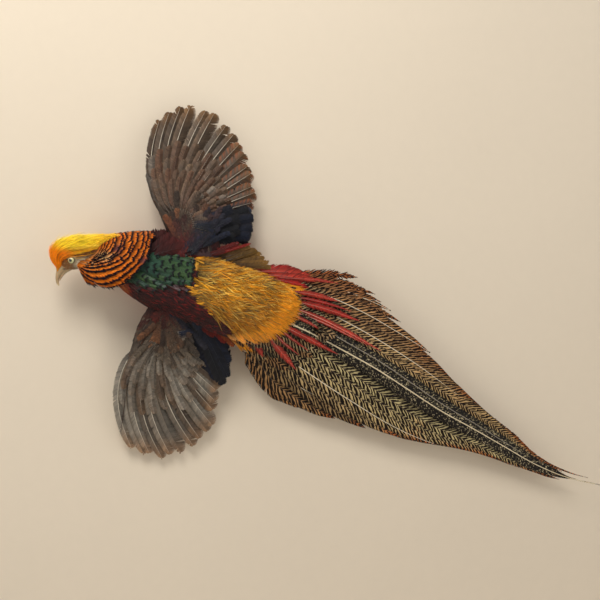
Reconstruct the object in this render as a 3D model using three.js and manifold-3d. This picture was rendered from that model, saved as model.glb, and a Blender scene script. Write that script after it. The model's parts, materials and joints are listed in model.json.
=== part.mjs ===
// Golden pheasant cock, a taxidermy mount in flight that hangs with its belly against a wall.
//
// Frame: X runs along the wall from head to tail, Z is up, the wall is the plane y = 0
// and the bird stands out from it towards -Y. The origin is the hanger behind the belly.
// All lengths are millimetres. "off" is a distance off the wall.
// The bird's back faces out from the wall, so its right wing is the upper one.

import * as THREE from 'three';
import { mergeVertices } from 'three/addons/utils/BufferGeometryUtils.js';
import Module from 'manifold-3d';

const wasm = await Module();
wasm.setup();

// Clearances and thicknesses.
const gap = 0.3;
const vaneThick = 1.6;
const vaneEdge = 0.9;

// The body is one smooth form from the bill to the tail root. Each station gives its centre,
// its half height in the plane of the wall and its half depth square to the wall.
const bodyStations = [
  { x: -231, off: 62, z: 86, high: 6, deep: 5.5 },
  { x: -222, off: 62, z: 92, high: 12, deep: 9.5 },
  { x: -208, off: 62, z: 97, high: 15.5, deep: 12.5 },
  { x: -191, off: 62, z: 99, high: 17, deep: 14 },
  { x: -172, off: 61, z: 96, high: 21, deep: 18 },
  { x: -152, off: 59, z: 86, high: 29, deep: 27 },
  { x: -125, off: 56, z: 70, high: 42, deep: 40 },
  { x: -85, off: 54, z: 50, high: 53, deep: 49 },
  { x: -40, off: 54, z: 29, high: 57, deep: 51.5 },
  { x: 5, off: 54, z: 8, high: 58, deep: 51.5 },
  { x: 45, off: 56, z: -11, high: 56, deep: 43 },
  { x: 76, off: 58, z: -26, high: 47, deep: 30 },
  { x: 100, off: 60, z: -38, high: 31, deep: 17 },
  { x: 116, off: 60, z: -46, high: 14, deep: 8 },
];
const bodyRings = 26;
const bodyAround = 16;

// Where the body is parted, as a share of its length in stations.
const napeCut = 3.3 / 13;
const neckCut = 5.4 / 13;
const rumpCut = 8.2 / 13;

const eye = { x: -218, z: 96.5, off: 62, aside: 7.2, radius: 4.9 };

const upperBill = [
  { x: -226, off: 62, z: 87, high: 6.2, deep: 5.6 },
  { x: -235, off: 62, z: 82, high: 5.6, deep: 4.6 },
  { x: -241, off: 62, z: 74, high: 3.8, deep: 3.2 },
  { x: -242.5, off: 62, z: 66, high: 2.1, deep: 1.9 },
  { x: -241.5, off: 62, z: 60.5, high: 0.7, deep: 0.7 },
];
const lowerBill = [
  { x: -223, off: 62, z: 82.5, high: 3.4, deep: 4.8 },
  { x: -230.5, off: 62, z: 78.5, high: 3, deep: 3.7 },
  { x: -236.5, off: 62, z: 72.5, high: 2.2, deep: 2.6 },
  { x: -239.5, off: 62, z: 67, high: 0.8, deep: 1 },
];

// The crest is a silky mass that starts at the bill, stands up at the brow and flows back.
const crestStations = [
  { x: -237, off: 62, z: 88, high: 3.5, deep: 5 },
  { x: -238.5, off: 62, z: 98, high: 9, deep: 10 },
  { x: -234, off: 62, z: 108, high: 14, deep: 13.5 },
  { x: -217, off: 62, z: 114, high: 14.5, deep: 15 },
  { x: -195, off: 62, z: 114.5, high: 14.5, deep: 15.5 },
  { x: -172, off: 62, z: 118.5, high: 9.5, deep: 14 },
  { x: -150, off: 62, z: 122, high: 5, deep: 9 },
  { x: -128, off: 62, z: 121, high: 1.5, deep: 3.5 },
];

// The cape is a shawl of broad feathers round the neck. Its feathers run from an inner
// ring behind the cheek to an outer edge, which is closest to the wall under the throat.
const capeInner = [
  { x: -199, off: 46, z: 78 },
  { x: -187, off: 47, z: 106 },
  { x: -179, off: 62, z: 119 },
  { x: -184, off: 79, z: 106 },
  { x: -196, off: 79, z: 92 },
  { x: -207, off: 72, z: 82 },
  { x: -209, off: 66, z: 78 },
];
const capeOuter = [
  { x: -160, off: 16, z: 52 },
  { x: -128, off: 14, z: 94 },
  { x: -101, off: 40, z: 121 },
  { x: -100, off: 80, z: 116 },
  { x: -119, off: 101, z: 82 },
  { x: -159, off: 88, z: 53 },
  { x: -205, off: 58, z: 58 },
];
const cape = { feathers: 11, swell: 7, thick: 2.2, notch: 0.05, hub: { x: -170, off: 58, z: 84 } };

// Each wing is a fan of feathers. The fan turns by "sweep" degrees from its leading feather,
// and "reach" lists the feather lengths from the fan's centre at even steps of that sweep.
// "bend" is how far the leading feather curves back towards the arm, in degrees.
const wings = {
  right: {
    x: -61, z: 131, rootOff: 58, tipOff: 20, lead: 96, sweep: -122, bend: 60,
    parts: [0, 0.4, 0.75, 1], feathers: [8, 6, 3],
    reach: [143, 170, 176, 164, 151, 136, 124, 117, 114, 108],
    arm: [
      { x: -52, off: 60, z: 84, high: 54, deep: 24 },
      { x: -46, off: 60, z: 107, high: 43, deep: 19 },
      { x: -49, off: 58, z: 128, high: 35, deep: 13.5 },
      { x: -64, off: 55, z: 151, high: 25, deep: 10 },
      { x: -81, off: 51, z: 171, high: 14, deep: 7 },
      { x: -92, off: 47, z: 194, high: 6, deep: 4 },
    ],
  },
  left: {
    x: -100, z: -28, rootOff: 56, tipOff: 14, lead: 247, sweep: 122, bend: -75,
    parts: [0, 0.34, 0.48, 1], feathers: [8, 3, 5],
    reach: [190, 204, 194, 178, 138, 131, 116, 98, 82, 70],
    arm: [
      { x: -85, off: 60, z: 28, high: 35, deep: 25 },
      { x: -87, off: 60, z: 4, high: 35, deep: 19 },
      { x: -98, off: 57, z: -20, high: 38, deep: 13.5 },
      { x: -121, off: 53, z: -44, high: 30, deep: 10 },
      { x: -145, off: 47, z: -68, high: 15, deep: 7 },
      { x: -161, off: 41, z: -94, high: 5.5, deep: 4 },
    ],
  },
};
const fan = {
  names: ['primaries', 'secondaries', 'tertials'],
  root: 18, columns: 3, rows: 4, notch: 0.075, step: 0.8,
};

// The tail runs out along a straight axis, turned down by "slope" degrees from X.
// Widths are given at even steps along it, from the tail root to the tip.
const tail = {
  x: 60, z: -20, slope: 35, length: 646, rootOff: 66, tipOff: 26, vault: 15, flatten: 0.6,
  drift: [6, 8, 7, 5, -1, -7, -9, -12, -15, -11, 3],
};
const tailSides = {
  reach: 540, start: 8, rows: 21, columns: 3, steps: 7, notch: 0.16,
  right: [70, 86, 84, 73, 64, 50, 34, 23, 9, 5, 3],
  left: [84, 120, 120, 109, 90, 67, 45, 28, 17, 9, 5],
};
const tailCentre = {
  start: 12, rows: 16, columns: 3, rise: 3.1,
  width: [20, 24, 25, 25, 24, 22, 19, 16, 12, 8, 1.5],
};
const tailPlumes = {
  back: 78, aside: 6, lead: 31, sweep: -62, feathers: 6, root: 100, rise: 5.8, rows: 3, columns: 3,
  notch: 0.16, reach: [150, 172, 250, 220, 184, 130],
};

const legs = {
  left: {
    thigh: [
      { x: -12, off: 27, z: -18, high: 15, deep: 15 },
      { x: 26, off: 23, z: -36, high: 18, deep: 15 },
      { x: 62, off: 19, z: -48, high: 12, deep: 10 },
      { x: 88, off: 18, z: -57, high: 5, deep: 4.6 },
    ],
    heel: { x: 88.8, off: 18, z: -57.5 },
    ankle: { x: 160, off: 16, z: -92 },
  },
  right: {
    thigh: [
      { x: 4, off: 27, z: 40, high: 15, deep: 15 },
      { x: 46, off: 23, z: 18, high: 18, deep: 15 },
      { x: 80, off: 19, z: 2, high: 12, deep: 10 },
      { x: 104, off: 18, z: -11, high: 5, deep: 4.6 },
    ],
    heel: { x: 104.8, off: 18, z: -11.5 },
    ankle: { x: 175, off: 16, z: -48 },
  },
};
const shank = { heelRadius: 4.2, midRadius: 2.9, ankleRadius: 3.6 };
const toeRings = 2;
const toes = [
  { turn: -34, length: 34, radius: 2.6 },
  { turn: -10, length: 46, radius: 2.8 },
  { turn: 14, length: 36, radius: 2.6 },
  { turn: 150, length: 17, radius: 2.1 },
];

const hanger = { width: 74, height: 46, thick: 3, corner: 8 };

const finishes = {
  steel: { color: 0x8e9196, roughness: 0.45, metalness: 0.9 },
  breast: { color: 0x5c1512, roughness: 0.85, metalness: 0 },
  rump: { color: 0xd99a1c, roughness: 0.8, metalness: 0 },
  neck: { color: 0xb8531f, roughness: 0.85, metalness: 0 },
  face: { color: 0xb09668, roughness: 0.85, metalness: 0 },
  crest: { color: 0xe3a914, roughness: 0.6, metalness: 0 },
  cape: { color: 0xd26a25, roughness: 0.7, metalness: 0 },
  horn: { color: 0xb7a77c, roughness: 0.4, metalness: 0 },
  glass: { color: 0xc9cf8e, roughness: 0.08, metalness: 0 },
  wing: { color: 0x5a4c40, roughness: 0.8, metalness: 0 },
  tertial: { color: 0x1b2133, roughness: 0.6, metalness: 0 },
  tail: { color: 0x6e5838, roughness: 0.75, metalness: 0 },
  tailCentre: { color: 0x37332c, roughness: 0.75, metalness: 0 },
  scarlet: { color: 0xa81d15, roughness: 0.7, metalness: 0 },
  leg: { color: 0xa48d4a, roughness: 0.6, metalness: 0 },
};

const outward = new THREE.Vector3(0, -1, 0);
const turned = (degrees) => THREE.MathUtils.degToRad(degrees);
const point = ({ x, off, z }) => new THREE.Vector3(x, -off, z);

function through(points) {
  return new THREE.CatmullRomCurve3(points, false, 'catmullrom', 0.5);
}

// A smooth curve through single values at even steps, read at 0 to 1.
function graded(values) {
  const line = through(values.map((value) => new THREE.Vector3(value, 0, 0)));
  return (t) => line.getPoint(THREE.MathUtils.clamp(t, 0, 1)).x;
}

// Turns loose triangles into one solid whose faces point out.
function solidOf(vertices, faces) {
  let volume = 0;
  for (const [a, b, c] of faces) {
    volume += vertices[a].dot(new THREE.Vector3().crossVectors(vertices[b], vertices[c]));
  }
  const outside = volume > 0 ? faces : faces.map(([a, b, c]) => [a, c, b]);
  const mesh = new wasm.Mesh({
    numProp: 3,
    vertProperties: new Float32Array(vertices.flatMap((vertex) => vertex.toArray())),
    triVerts: new Uint32Array(outside.flat()),
  });
  return new wasm.Manifold(mesh);
}

function solidFrom(geometry) {
  const bare = geometry.clone();
  bare.deleteAttribute('normal');
  bare.deleteAttribute('uv');
  const merged = mergeVertices(bare, 1e-4);
  const mesh = new wasm.Mesh({
    numProp: 3,
    vertProperties: new Float32Array(merged.attributes.position.array),
    triVerts: new Uint32Array(merged.index.array),
  });
  return new wasm.Manifold(mesh);
}

// Cuts can leave crumbs, and a piece is one body, so only the largest part is kept.
function largest(solid) {
  return solid.decompose().reduce((best, next) => (next.volume() > best.volume() ? next : best));
}

// The axes of a section of a form that follows a curve: one in the wall's plane, and one out from it.
function axesAt(curve, t) {
  const along = curve.getTangent(t);
  const across = new THREE.Vector3().crossVectors(along, outward).normalize();
  const out = new THREE.Vector3().crossVectors(across, along).normalize();
  return { across, out };
}

// A closed form of oval sections along a smooth line, grown all over by "grow".
function loft(stations, { rings, around, grow = 0 }) {
  const centres = through(stations.map(point));
  const sizes = through(stations.map(({ high, deep }) => new THREE.Vector3(high, deep, 0)));
  const vertices = [];
  for (let ring = 0; ring <= rings; ring += 1) {
    const t = ring / rings;
    const centre = centres.getPoint(t);
    const { across, out } = axesAt(centres, t);
    const size = sizes.getPoint(t);
    for (let step = 0; step < around; step += 1) {
      const turn = (2 * Math.PI * step) / around;
      const edge = centre.clone();
      edge.addScaledVector(across, Math.cos(turn) * (size.x + grow));
      edge.addScaledVector(out, Math.sin(turn) * (size.y + grow));
      vertices.push(edge);
    }
  }
  const first = stations[0];
  const last = stations[stations.length - 1];
  const front = centres.getPoint(0).addScaledVector(centres.getTangent(0), -first.deep * 0.5 - grow);
  const back = centres.getPoint(1).addScaledVector(centres.getTangent(1), last.deep * 0.5 + grow);
  vertices.push(front, back);
  const faces = [];
  const lastRing = rings * around;
  for (let step = 0; step < around; step += 1) {
    const next = (step + 1) % around;
    for (let ring = 0; ring < rings; ring += 1) {
      const here = ring * around;
      const there = here + around;
      faces.push([here + step, there + step, there + next]);
      faces.push([here + step, there + next, here + next]);
    }
    faces.push([vertices.length - 2, step, next]);
    faces.push([vertices.length - 1, lastRing + next, lastRing + step]);
  }
  return solidOf(vertices, faces);
}

// A thin closed sheet. "place" gives its middle surface for u across and v along,
// "thick" its thickness, "relief" lifts it along its own normal, and "grow" swells it all over.
function sheet({ rows, columns, place, thick, relief = () => 0, facing = () => outward, grow = 0 }) {
  const small = 1e-3;
  const fronts = [];
  const backs = [];
  for (let row = 0; row <= rows; row += 1) {
    for (let column = 0; column <= columns; column += 1) {
      const u = column / columns;
      const v = row / rows;
      const sideways = place(Math.min(u + small, 1), v).sub(place(Math.max(u - small, 0), v));
      const lengthways = place(u, Math.min(v + small, 1)).sub(place(u, Math.max(v - small, 0)));
      const normal = new THREE.Vector3().crossVectors(sideways, lengthways).normalize();
      const ground = place(u, v);
      if (normal.dot(facing(ground)) < 0) normal.negate();
      const middle = ground.addScaledVector(normal, relief(u, v));
      if (column === 0) middle.addScaledVector(sideways.normalize(), -grow);
      if (column === columns) middle.addScaledVector(sideways.normalize(), grow);
      if (row === 0) middle.addScaledVector(lengthways.normalize(), -grow);
      if (row === rows) middle.addScaledVector(lengthways.normalize(), grow);
      const half = thick(u, v) / 2 + grow;
      fronts.push(middle.clone().addScaledVector(normal, half));
      backs.push(middle.clone().addScaledVector(normal, -half));
    }
  }
  const width = columns + 1;
  const count = fronts.length;
  const faces = [];
  for (let row = 0; row < rows; row += 1) {
    for (let column = 0; column < columns; column += 1) {
      const corner = row * width + column;
      const above = corner + width;
      faces.push([corner, corner + 1, above + 1], [corner, above + 1, above]);
      faces.push([count + corner, count + above + 1, count + corner + 1]);
      faces.push([count + corner, count + above, count + above + 1]);
    }
  }
  const rim = [];
  for (let column = 0; column < columns; column += 1) rim.push(column);
  for (let row = 0; row < rows; row += 1) rim.push(row * width + columns);
  for (let column = columns; column > 0; column -= 1) rim.push(rows * width + column);
  for (let row = rows; row > 0; row -= 1) rim.push(row * width);
  rim.forEach((here, index) => {
    const next = rim[(index + 1) % rim.length];
    faces.push([here, count + here, count + next], [here, count + next, next]);
  });
  return solidOf([...fronts, ...backs], faces);
}

// How far along its own vane a place in a row of feathers is, 0 to 1, from one edge to the other.
const withinVane = (u, feathers) => (u * feathers) % 1;

// Round feather tips: full reach at the middle of a vane and less at its edges.
function tipShare(u, feathers, notch) {
  const across = 2 * withinVane(u, feathers) - 1;
  return 1 - notch * across * across;
}

const body = loft(bodyStations, { rings: bodyRings, around: bodyAround });
const bodyClear = loft(bodyStations, { rings: bodyRings, around: bodyAround, grow: gap });
const bodyLine = through(bodyStations.map(point));

// The stretch of the body between two cuts, square to its line, with the clearance between stretches.
function bodyBetween(from, to) {
  let piece = body;
  if (from > 0) {
    const along = bodyLine.getTangent(from);
    piece = piece.trimByPlane(along.toArray(), along.dot(bodyLine.getPoint(from)) + gap / 2);
  }
  if (to < 1) {
    const along = bodyLine.getTangent(to).negate();
    piece = piece.trimByPlane(along.toArray(), along.dot(bodyLine.getPoint(to)) + gap / 2);
  }
  return piece;
}

function eyeball(side, grow) {
  const ball = new THREE.SphereGeometry(eye.radius + grow, 12, 8);
  ball.translate(eye.x, -(eye.off + side * eye.aside), eye.z);
  return solidFrom(ball);
}

function hangerPlate(grow) {
  const halfWidth = hanger.width / 2 + grow;
  const halfHeight = hanger.height / 2 + grow;
  const round = hanger.corner;
  const outline = new THREE.Shape();
  outline.moveTo(-halfWidth + round, -halfHeight);
  outline.lineTo(halfWidth - round, -halfHeight);
  outline.absarc(halfWidth - round, -halfHeight + round, round, -Math.PI / 2, 0);
  outline.absarc(halfWidth - round, halfHeight - round, round, 0, Math.PI / 2);
  outline.absarc(-halfWidth + round, halfHeight - round, round, Math.PI / 2, Math.PI);
  outline.absarc(-halfWidth + round, -halfHeight + round, round, Math.PI, 1.5 * Math.PI);
  const depth = hanger.thick + grow;
  const slab = new THREE.ExtrudeGeometry(outline, { depth, bevelEnabled: false, curveSegments: 3 });
  slab.rotateX(Math.PI / 2);
  return solidFrom(slab);
}

// The cape's sheet swells away from the middle of the neck, between its inner and outer edges.
function capeSheet(grow) {
  const inner = through(capeInner.map(point));
  const outer = through(capeOuter.map(point));
  const hub = point(cape.hub);
  const away = (place) => place.clone().sub(hub).normalize();
  const place = (u, v) => {
    const reach = v * tipShare(u, cape.feathers, cape.notch * v);
    const ground = inner.getPoint(u).lerp(outer.getPoint(u), reach);
    return ground.addScaledVector(away(ground), cape.swell * Math.sin(Math.PI * v));
  };
  return sheet({
    rows: 4, columns: cape.feathers * 2, place, facing: away, grow,
    thick: (u, v) => cape.thick * (1 - 0.5 * v),
  });
}

// A stretch of a wing's fan, as a sheet of overlapping vanes with a step from each to the next.
function fanSheet(wing, part, grow = 0) {
  const from = wing.parts[part];
  const to = wing.parts[part + 1];
  const feathers = wing.feathers[part];
  const reach = graded(wing.reach);
  const longest = Math.max(...wing.reach);
  const place = (u, v) => {
    const q = from + (to - from) * u;
    const tip = reach(q) * tipShare(u, feathers, fan.notch);
    const radius = fan.root + (tip - fan.root) * v;
    const curl = wing.bend * (1 - q) ** 3 * (1 - radius / tip) ** 1.15;
    const angle = turned(wing.lead + wing.sweep * q + curl);
    const fall = (radius / longest) ** 1.25;
    return point({
      x: wing.x + radius * Math.cos(angle),
      off: wing.rootOff + (wing.tipOff - wing.rootOff) * fall,
      z: wing.z + radius * Math.sin(angle),
    });
  };
  const overlap = (u, v) => fan.step * (withinVane(Math.min(u, 0.999), feathers) - 0.5) * v;
  return sheet({
    rows: fan.rows, columns: feathers * fan.columns, place, relief: overlap, grow,
    thick: (u, v) => vaneThick + (vaneEdge - vaneThick) * v,
  });
}

// The middle line of the tail's surface, and the surface itself at a distance to one side.
const tailDrift = graded(tail.drift);
function tailPlace(distance, aside, rise) {
  const slope = turned(-tail.slope);
  const t = distance / tail.length;
  const off = tail.rootOff + (tail.tipOff - tail.rootOff) * t ** tail.flatten;
  const arch = tail.vault * (1 - 0.7 * t) * (aside / 90) ** 2;
  const across = aside + tailDrift(t);
  return point({
    x: tail.x + distance * Math.cos(slope) - across * Math.sin(slope),
    off: off - arch + rise,
    z: tail.z + distance * Math.sin(slope) + across * Math.cos(slope),
  });
}

// The feathers of one side of the tail. Each tip stands out a little and the edge steps in behind it.
function tailSide(side, widths, grow = 0) {
  const width = graded(widths);
  const place = (u, v) => {
    const distance = tailSides.start + (tailSides.reach - tailSides.start) * v;
    const tipStep = 1 - tailSides.notch * (1 - (v * tailSides.steps) % 1);
    const reach = width(distance / tail.length) * tipStep;
    return tailPlace(distance, side * (gap / 2 + (reach - gap / 2) * u), 0);
  };
  return sheet({
    rows: tailSides.rows, columns: tailSides.columns, place, grow,
    thick: (u) => vaneThick + (vaneEdge - vaneThick) * u,
  });
}

function tailMiddle(grow = 0) {
  const width = graded(tailCentre.width);
  const place = (u, v) => {
    const distance = tailCentre.start + (tail.length - tailCentre.start) * v;
    return tailPlace(distance, width(distance / tail.length) * (2 * u - 1), tailCentre.rise);
  };
  return sheet({
    rows: tailCentre.rows, columns: tailCentre.columns, place, grow,
    thick: (u, v) => vaneThick + (vaneEdge - vaneThick) * v,
  });
}

// Narrow scarlet plumes that come out from under the rump and lie over the root of the tail.
function plumeSheet(grow = 0) {
  const { back, aside, lead, sweep, feathers, root, rise, rows, columns, notch } = tailPlumes;
  const reach = graded(tailPlumes.reach);
  const place = (u, v) => {
    const tip = reach(u) * tipShare(u, feathers, notch);
    const radius = root + (tip - root) * v;
    const angle = turned(lead + sweep * u);
    return tailPlace(radius * Math.cos(angle) - back, radius * Math.sin(angle) + aside, rise);
  };
  return sheet({
    rows, columns: feathers * columns, place, grow,
    thick: (u, v) => vaneThick + (vaneEdge - vaneThick) * v,
  });
}

function leg({ heel, ankle }) {
  const middle = { x: (heel.x + ankle.x) / 2, off: (heel.off + ankle.off) / 2, z: (heel.z + ankle.z) / 2 };
  const round = (place, radius) => ({ ...place, high: radius, deep: radius });
  return loft([
    round(heel, shank.heelRadius),
    round(middle, shank.midRadius),
    round(ankle, shank.ankleRadius),
  ], { rings: 3, around: 8 });
}

// A foot that trails with its toes together, each toe a tapering form that ends in a claw.
function foot({ heel, ankle }) {
  const trail = Math.atan2(ankle.z - heel.z, ankle.x - heel.x);
  const start = { ...ankle, x: ankle.x + 4 * Math.cos(trail), z: ankle.z + 4 * Math.sin(trail) };
  const parts = toes.map(({ turn, length, radius }) => {
    const angle = trail + turned(turn);
    const knuckle = (share, thick, lift) => ({
      x: start.x + share * length * Math.cos(angle),
      off: start.off + lift,
      z: start.z + share * length * Math.sin(angle),
      high: radius * thick,
      deep: radius * thick,
    });
    return loft([
      knuckle(0, 1.15, 0), knuckle(0.35, 1, 1.2), knuckle(0.75, 0.75, -0.6), knuckle(1, 0.25, -4),
    ], { rings: toeRings, around: 5 });
  });
  return wasm.Manifold.union(parts);
}

const bird = new THREE.Group();

function add(name, solid, finish) {
  const { triVerts, vertProperties } = largest(solid).getMesh();
  const geometry = new THREE.BufferGeometry();
  geometry.setAttribute('position', new THREE.BufferAttribute(new Float32Array(vertProperties), 3));
  geometry.setIndex(new THREE.BufferAttribute(new Uint32Array(triVerts), 1));
  geometry.computeVertexNormals();
  const mesh = new THREE.Mesh(geometry, new THREE.MeshStandardMaterial(finishes[finish]));
  mesh.name = name;
  bird.add(mesh);
}

// The body and the plate that it hangs by.
const plateClear = hangerPlate(gap);
add('hanger_plate', hangerPlate(0), 'steel');
add('head', bodyBetween(0, napeCut).subtract(eyeball(1, gap)).subtract(eyeball(-1, gap)), 'face');
add('neck', bodyBetween(napeCut, neckCut), 'neck');
add('trunk', bodyBetween(neckCut, rumpCut).subtract(plateClear), 'breast');
add('rump', bodyBetween(rumpCut, 1).subtract(plateClear), 'rump');

// The head's own pieces.
add('eye_left', eyeball(1, 0), 'glass');
add('eye_right', eyeball(-1, 0), 'glass');
const billShape = { rings: 7, around: 10 };
add('bill_upper', loft(upperBill, billShape).subtract(bodyClear), 'horn');
const upperClear = loft(upperBill, { ...billShape, grow: gap });
add('bill_lower', loft(lowerBill, billShape).subtract(bodyClear).subtract(upperClear), 'horn');

// The cape lies over the neck and the crest over the crown and the cape.
const crestShape = { rings: 8, around: 10 };
add('cape', capeSheet(0).subtract(bodyClear), 'cape');
const crest = loft(crestStations, crestShape).subtract(bodyClear).subtract(capeSheet(gap));
add('crest', crest.subtract(loft(upperBill, { ...billShape, grow: gap })), 'crest');

// The wings: a fleshy arm with its small coverts, and the fan of feathers that it carries.
for (const [side, wing] of Object.entries(wings)) {
  const armShape = { rings: 7, around: 12 };
  add(`wing_arm_${side}`, loft(wing.arm, armShape).subtract(bodyClear), 'wing');
  const armClear = loft(wing.arm, { ...armShape, grow: gap });
  fan.names.forEach((name, part) => {
    let vanes = fanSheet(wing, part).subtract(armClear).subtract(bodyClear);
    if (part > 0) vanes = vanes.subtract(fanSheet(wing, part - 1, gap));
    add(`${name}_${side}`, vanes, name === 'tertials' ? 'tertial' : 'wing');
  });
}

// The tail, from the side feathers up to the scarlet plumes over its root.
add('tail_side_right', tailSide(1, tailSides.right).subtract(bodyClear), 'tail');
add('tail_side_left', tailSide(-1, tailSides.left).subtract(bodyClear), 'tail');
add('tail_middle', tailMiddle().subtract(bodyClear), 'tailCentre');
add('tail_plumes', plumeSheet().subtract(bodyClear), 'scarlet');

// The legs, drawn back under the root of the tail.
for (const [side, limb] of Object.entries(legs)) {
  const thigh = { rings: 6, around: 10 };
  add(`thigh_${side}`, loft(limb.thigh, thigh).subtract(bodyClear).subtract(plateClear), 'breast');
  const thighClear = loft(limb.thigh, { ...thigh, grow: gap });
  const shin = leg(limb).subtract(thighClear);
  add(`shank_${side}`, shin, 'leg');
  add(`foot_${side}`, foot(limb).subtract(leg({ ...limb, grow: gap })), 'leg');
}

export default bird;
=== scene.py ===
# Golden pheasant cock, a taxidermy mount in flight: its skin, coat, flight and tail feathers, head and feet.
# Metres, in the frame's own axes: X from head to tail, Z up, the wall is the plane y = 0. Tables are in mm.

import json

import bpy
import numpy as np
from mathutils import Matrix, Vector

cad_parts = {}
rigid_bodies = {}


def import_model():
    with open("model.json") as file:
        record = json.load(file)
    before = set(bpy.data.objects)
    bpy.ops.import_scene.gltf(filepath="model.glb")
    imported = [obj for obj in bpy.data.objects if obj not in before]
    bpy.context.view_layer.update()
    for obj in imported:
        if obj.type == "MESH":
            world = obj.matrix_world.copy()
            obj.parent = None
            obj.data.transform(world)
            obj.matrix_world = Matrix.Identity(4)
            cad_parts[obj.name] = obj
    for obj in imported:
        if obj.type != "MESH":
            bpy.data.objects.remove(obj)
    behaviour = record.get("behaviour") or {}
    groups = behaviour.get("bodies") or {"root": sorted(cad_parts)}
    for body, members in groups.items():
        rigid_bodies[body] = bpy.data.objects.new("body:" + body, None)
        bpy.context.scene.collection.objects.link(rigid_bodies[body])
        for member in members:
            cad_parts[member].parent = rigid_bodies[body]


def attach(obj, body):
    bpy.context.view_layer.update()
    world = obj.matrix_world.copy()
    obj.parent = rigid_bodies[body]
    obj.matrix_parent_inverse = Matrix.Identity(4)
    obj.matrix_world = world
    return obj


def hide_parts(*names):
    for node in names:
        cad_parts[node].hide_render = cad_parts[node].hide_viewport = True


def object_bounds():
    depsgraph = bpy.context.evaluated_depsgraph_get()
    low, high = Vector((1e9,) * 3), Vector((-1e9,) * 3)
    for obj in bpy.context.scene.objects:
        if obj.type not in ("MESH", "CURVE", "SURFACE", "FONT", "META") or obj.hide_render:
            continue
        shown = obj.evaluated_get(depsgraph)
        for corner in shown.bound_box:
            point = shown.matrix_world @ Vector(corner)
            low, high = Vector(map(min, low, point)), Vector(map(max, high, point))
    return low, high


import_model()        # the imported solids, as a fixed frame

cadBox = [list(corner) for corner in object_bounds()]
mm = 0.001
fullTurn = 6.2832
outward = np.array([0.0, -1.0, 0.0])
scene = bpy.context.scene


# Vectors, smooth lines and colours.

def unit(vectors):
    return vectors / np.maximum(np.linalg.norm(vectors, axis=-1, keepdims=True), 1e-9)


# A smooth curve through the values, read at shares of its length.
def smoothLine(values, share):
    values = np.asarray(values, float)
    if values.ndim == 1:
        return smoothLine(values[:, None], share)[..., 0]
    ends = np.concatenate([2 * values[:1] - values[1:2], values, 2 * values[-1:] - values[-2:-1]])
    place = np.clip(np.asarray(share, float), 0, 1) * (len(values) - 1)
    start = np.minimum(place.astype(int), len(values) - 2)
    t = (place - start)[..., None]
    a, b, c, d = (ends[start + step] for step in range(4))
    slopeIn = 0.5 * (c - a)
    slopeOut = 0.5 * (d - b)
    cubic = 2 * b - 2 * c + slopeIn + slopeOut
    square = -3 * b + 3 * c - 2 * slopeIn - slopeOut
    return ((cubic * t + square) * t + slopeIn) * t + b


def rampOf(low, high, value):
    t = np.clip((value - low) / (high - low), 0, 1)
    return t * t * (3 - 2 * t)


tones = {}        # each piece adds the tones that it names


def addTones(**codes):
    tones.update({name: tone(code) for name, code in codes.items()})


def tone(code):
    if code in tones:
        return tones[code]
    values = np.array([int(code[at:at + 2], 16) for at in (0, 2, 4)]) / 255
    linear = np.where(values <= 0.04045, values / 12.92, ((values + 0.055) / 1.055) ** 2.4)
    return np.append(linear, 1.0)


def mixTone(first, second, share):
    second = tone(second) if isinstance(second, str) else second
    return first + (second - first) * np.asarray(share)[..., None]


# Lays tones over one another: each layer is a tone's name or code, and its share.
def painted(colours, *layers):
    for layer, share in layers:
        colours = mixTone(colours, layer, share)
    return colours


def evenTone(name, count):
    return np.repeat(tone(name)[None], count, 0)


def alongStops(colours, stops):
    return np.repeat(colours[:, None], len(stops), 1)


def shaded(colours, light):
    result = colours * np.asarray(light)[..., None]
    result[..., 3] = 1
    return result


def planeOf(points):
    return points[..., 0] / mm, points[..., 2] / mm


# A soft spot round a place of the wall plane, 1 at its middle.
def near(points, x, z, wide, tall):
    px, pz = planeOf(points)
    return np.exp(-(((px - x) / wide) ** 2 + ((pz - z) / tall) ** 2))


def wallPoint(row):
    return np.array([row[0], -row[1], row[2]]) * mm


# Forms of flesh: oval sections along a smooth line. A row is x, off the wall, z, half height, half depth.

def formFrom(rows):
    rows = np.array(rows, float) * mm
    return {"centres": np.stack([rows[:, 0], -rows[:, 1], rows[:, 2]], 1), "sizes": rows[:, 3:5]}


def formFrame(form, along):
    step = 1e-4
    centre = smoothLine(form["centres"], along)
    ahead = smoothLine(form["centres"], np.asarray(along) + step)
    behind = smoothLine(form["centres"], np.asarray(along) - step)
    forward = unit(ahead - behind)
    across = unit(np.cross(forward, outward))
    return centre, across, np.cross(across, forward), smoothLine(form["sizes"], along)


def formSurface(form):
    def surface(turn, along, grow=0.0):
        centre, across, out, sizes = formFrame(form, along)
        angle = 2 * np.pi * np.asarray(turn)[..., None]
        high = sizes[..., :1] + grow
        deep = sizes[..., 1:] + grow
        return centre + across * np.cos(angle) * high + out * np.sin(angle) * deep
    return surface


# Turn, share along and reach of points on a form; reach is 1 at its surface.
def formPlace(form, points, steps=160):
    stops = np.linspace(0, 1, steps)
    centres, across, out, sizes = formFrame(form, stops)
    gaps = points[:, None, :] - centres[None]
    high = (gaps * across).sum(-1) / sizes[:, 0]
    deep = (gaps * out).sum(-1) / sizes[:, 1]
    at = (np.arange(len(points)), np.linalg.norm(gaps, axis=-1).argmin(1))
    turn = (np.arctan2(deep[at], high[at]) / (2 * np.pi)) % 1
    return turn, stops[at[1]], np.sqrt(high ** 2 + deep ** 2)[at]


def loftRings(form, rings, around, grow=0.0):
    along = np.linspace(0, 1, rings)[:, None] + np.zeros((1, around))
    turn = np.zeros((rings, 1)) + np.arange(around) / around
    growth = np.broadcast_to(np.asarray(grow, float), (rings,))[:, None, None]
    return formSurface(form)(turn, along, growth)


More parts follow.
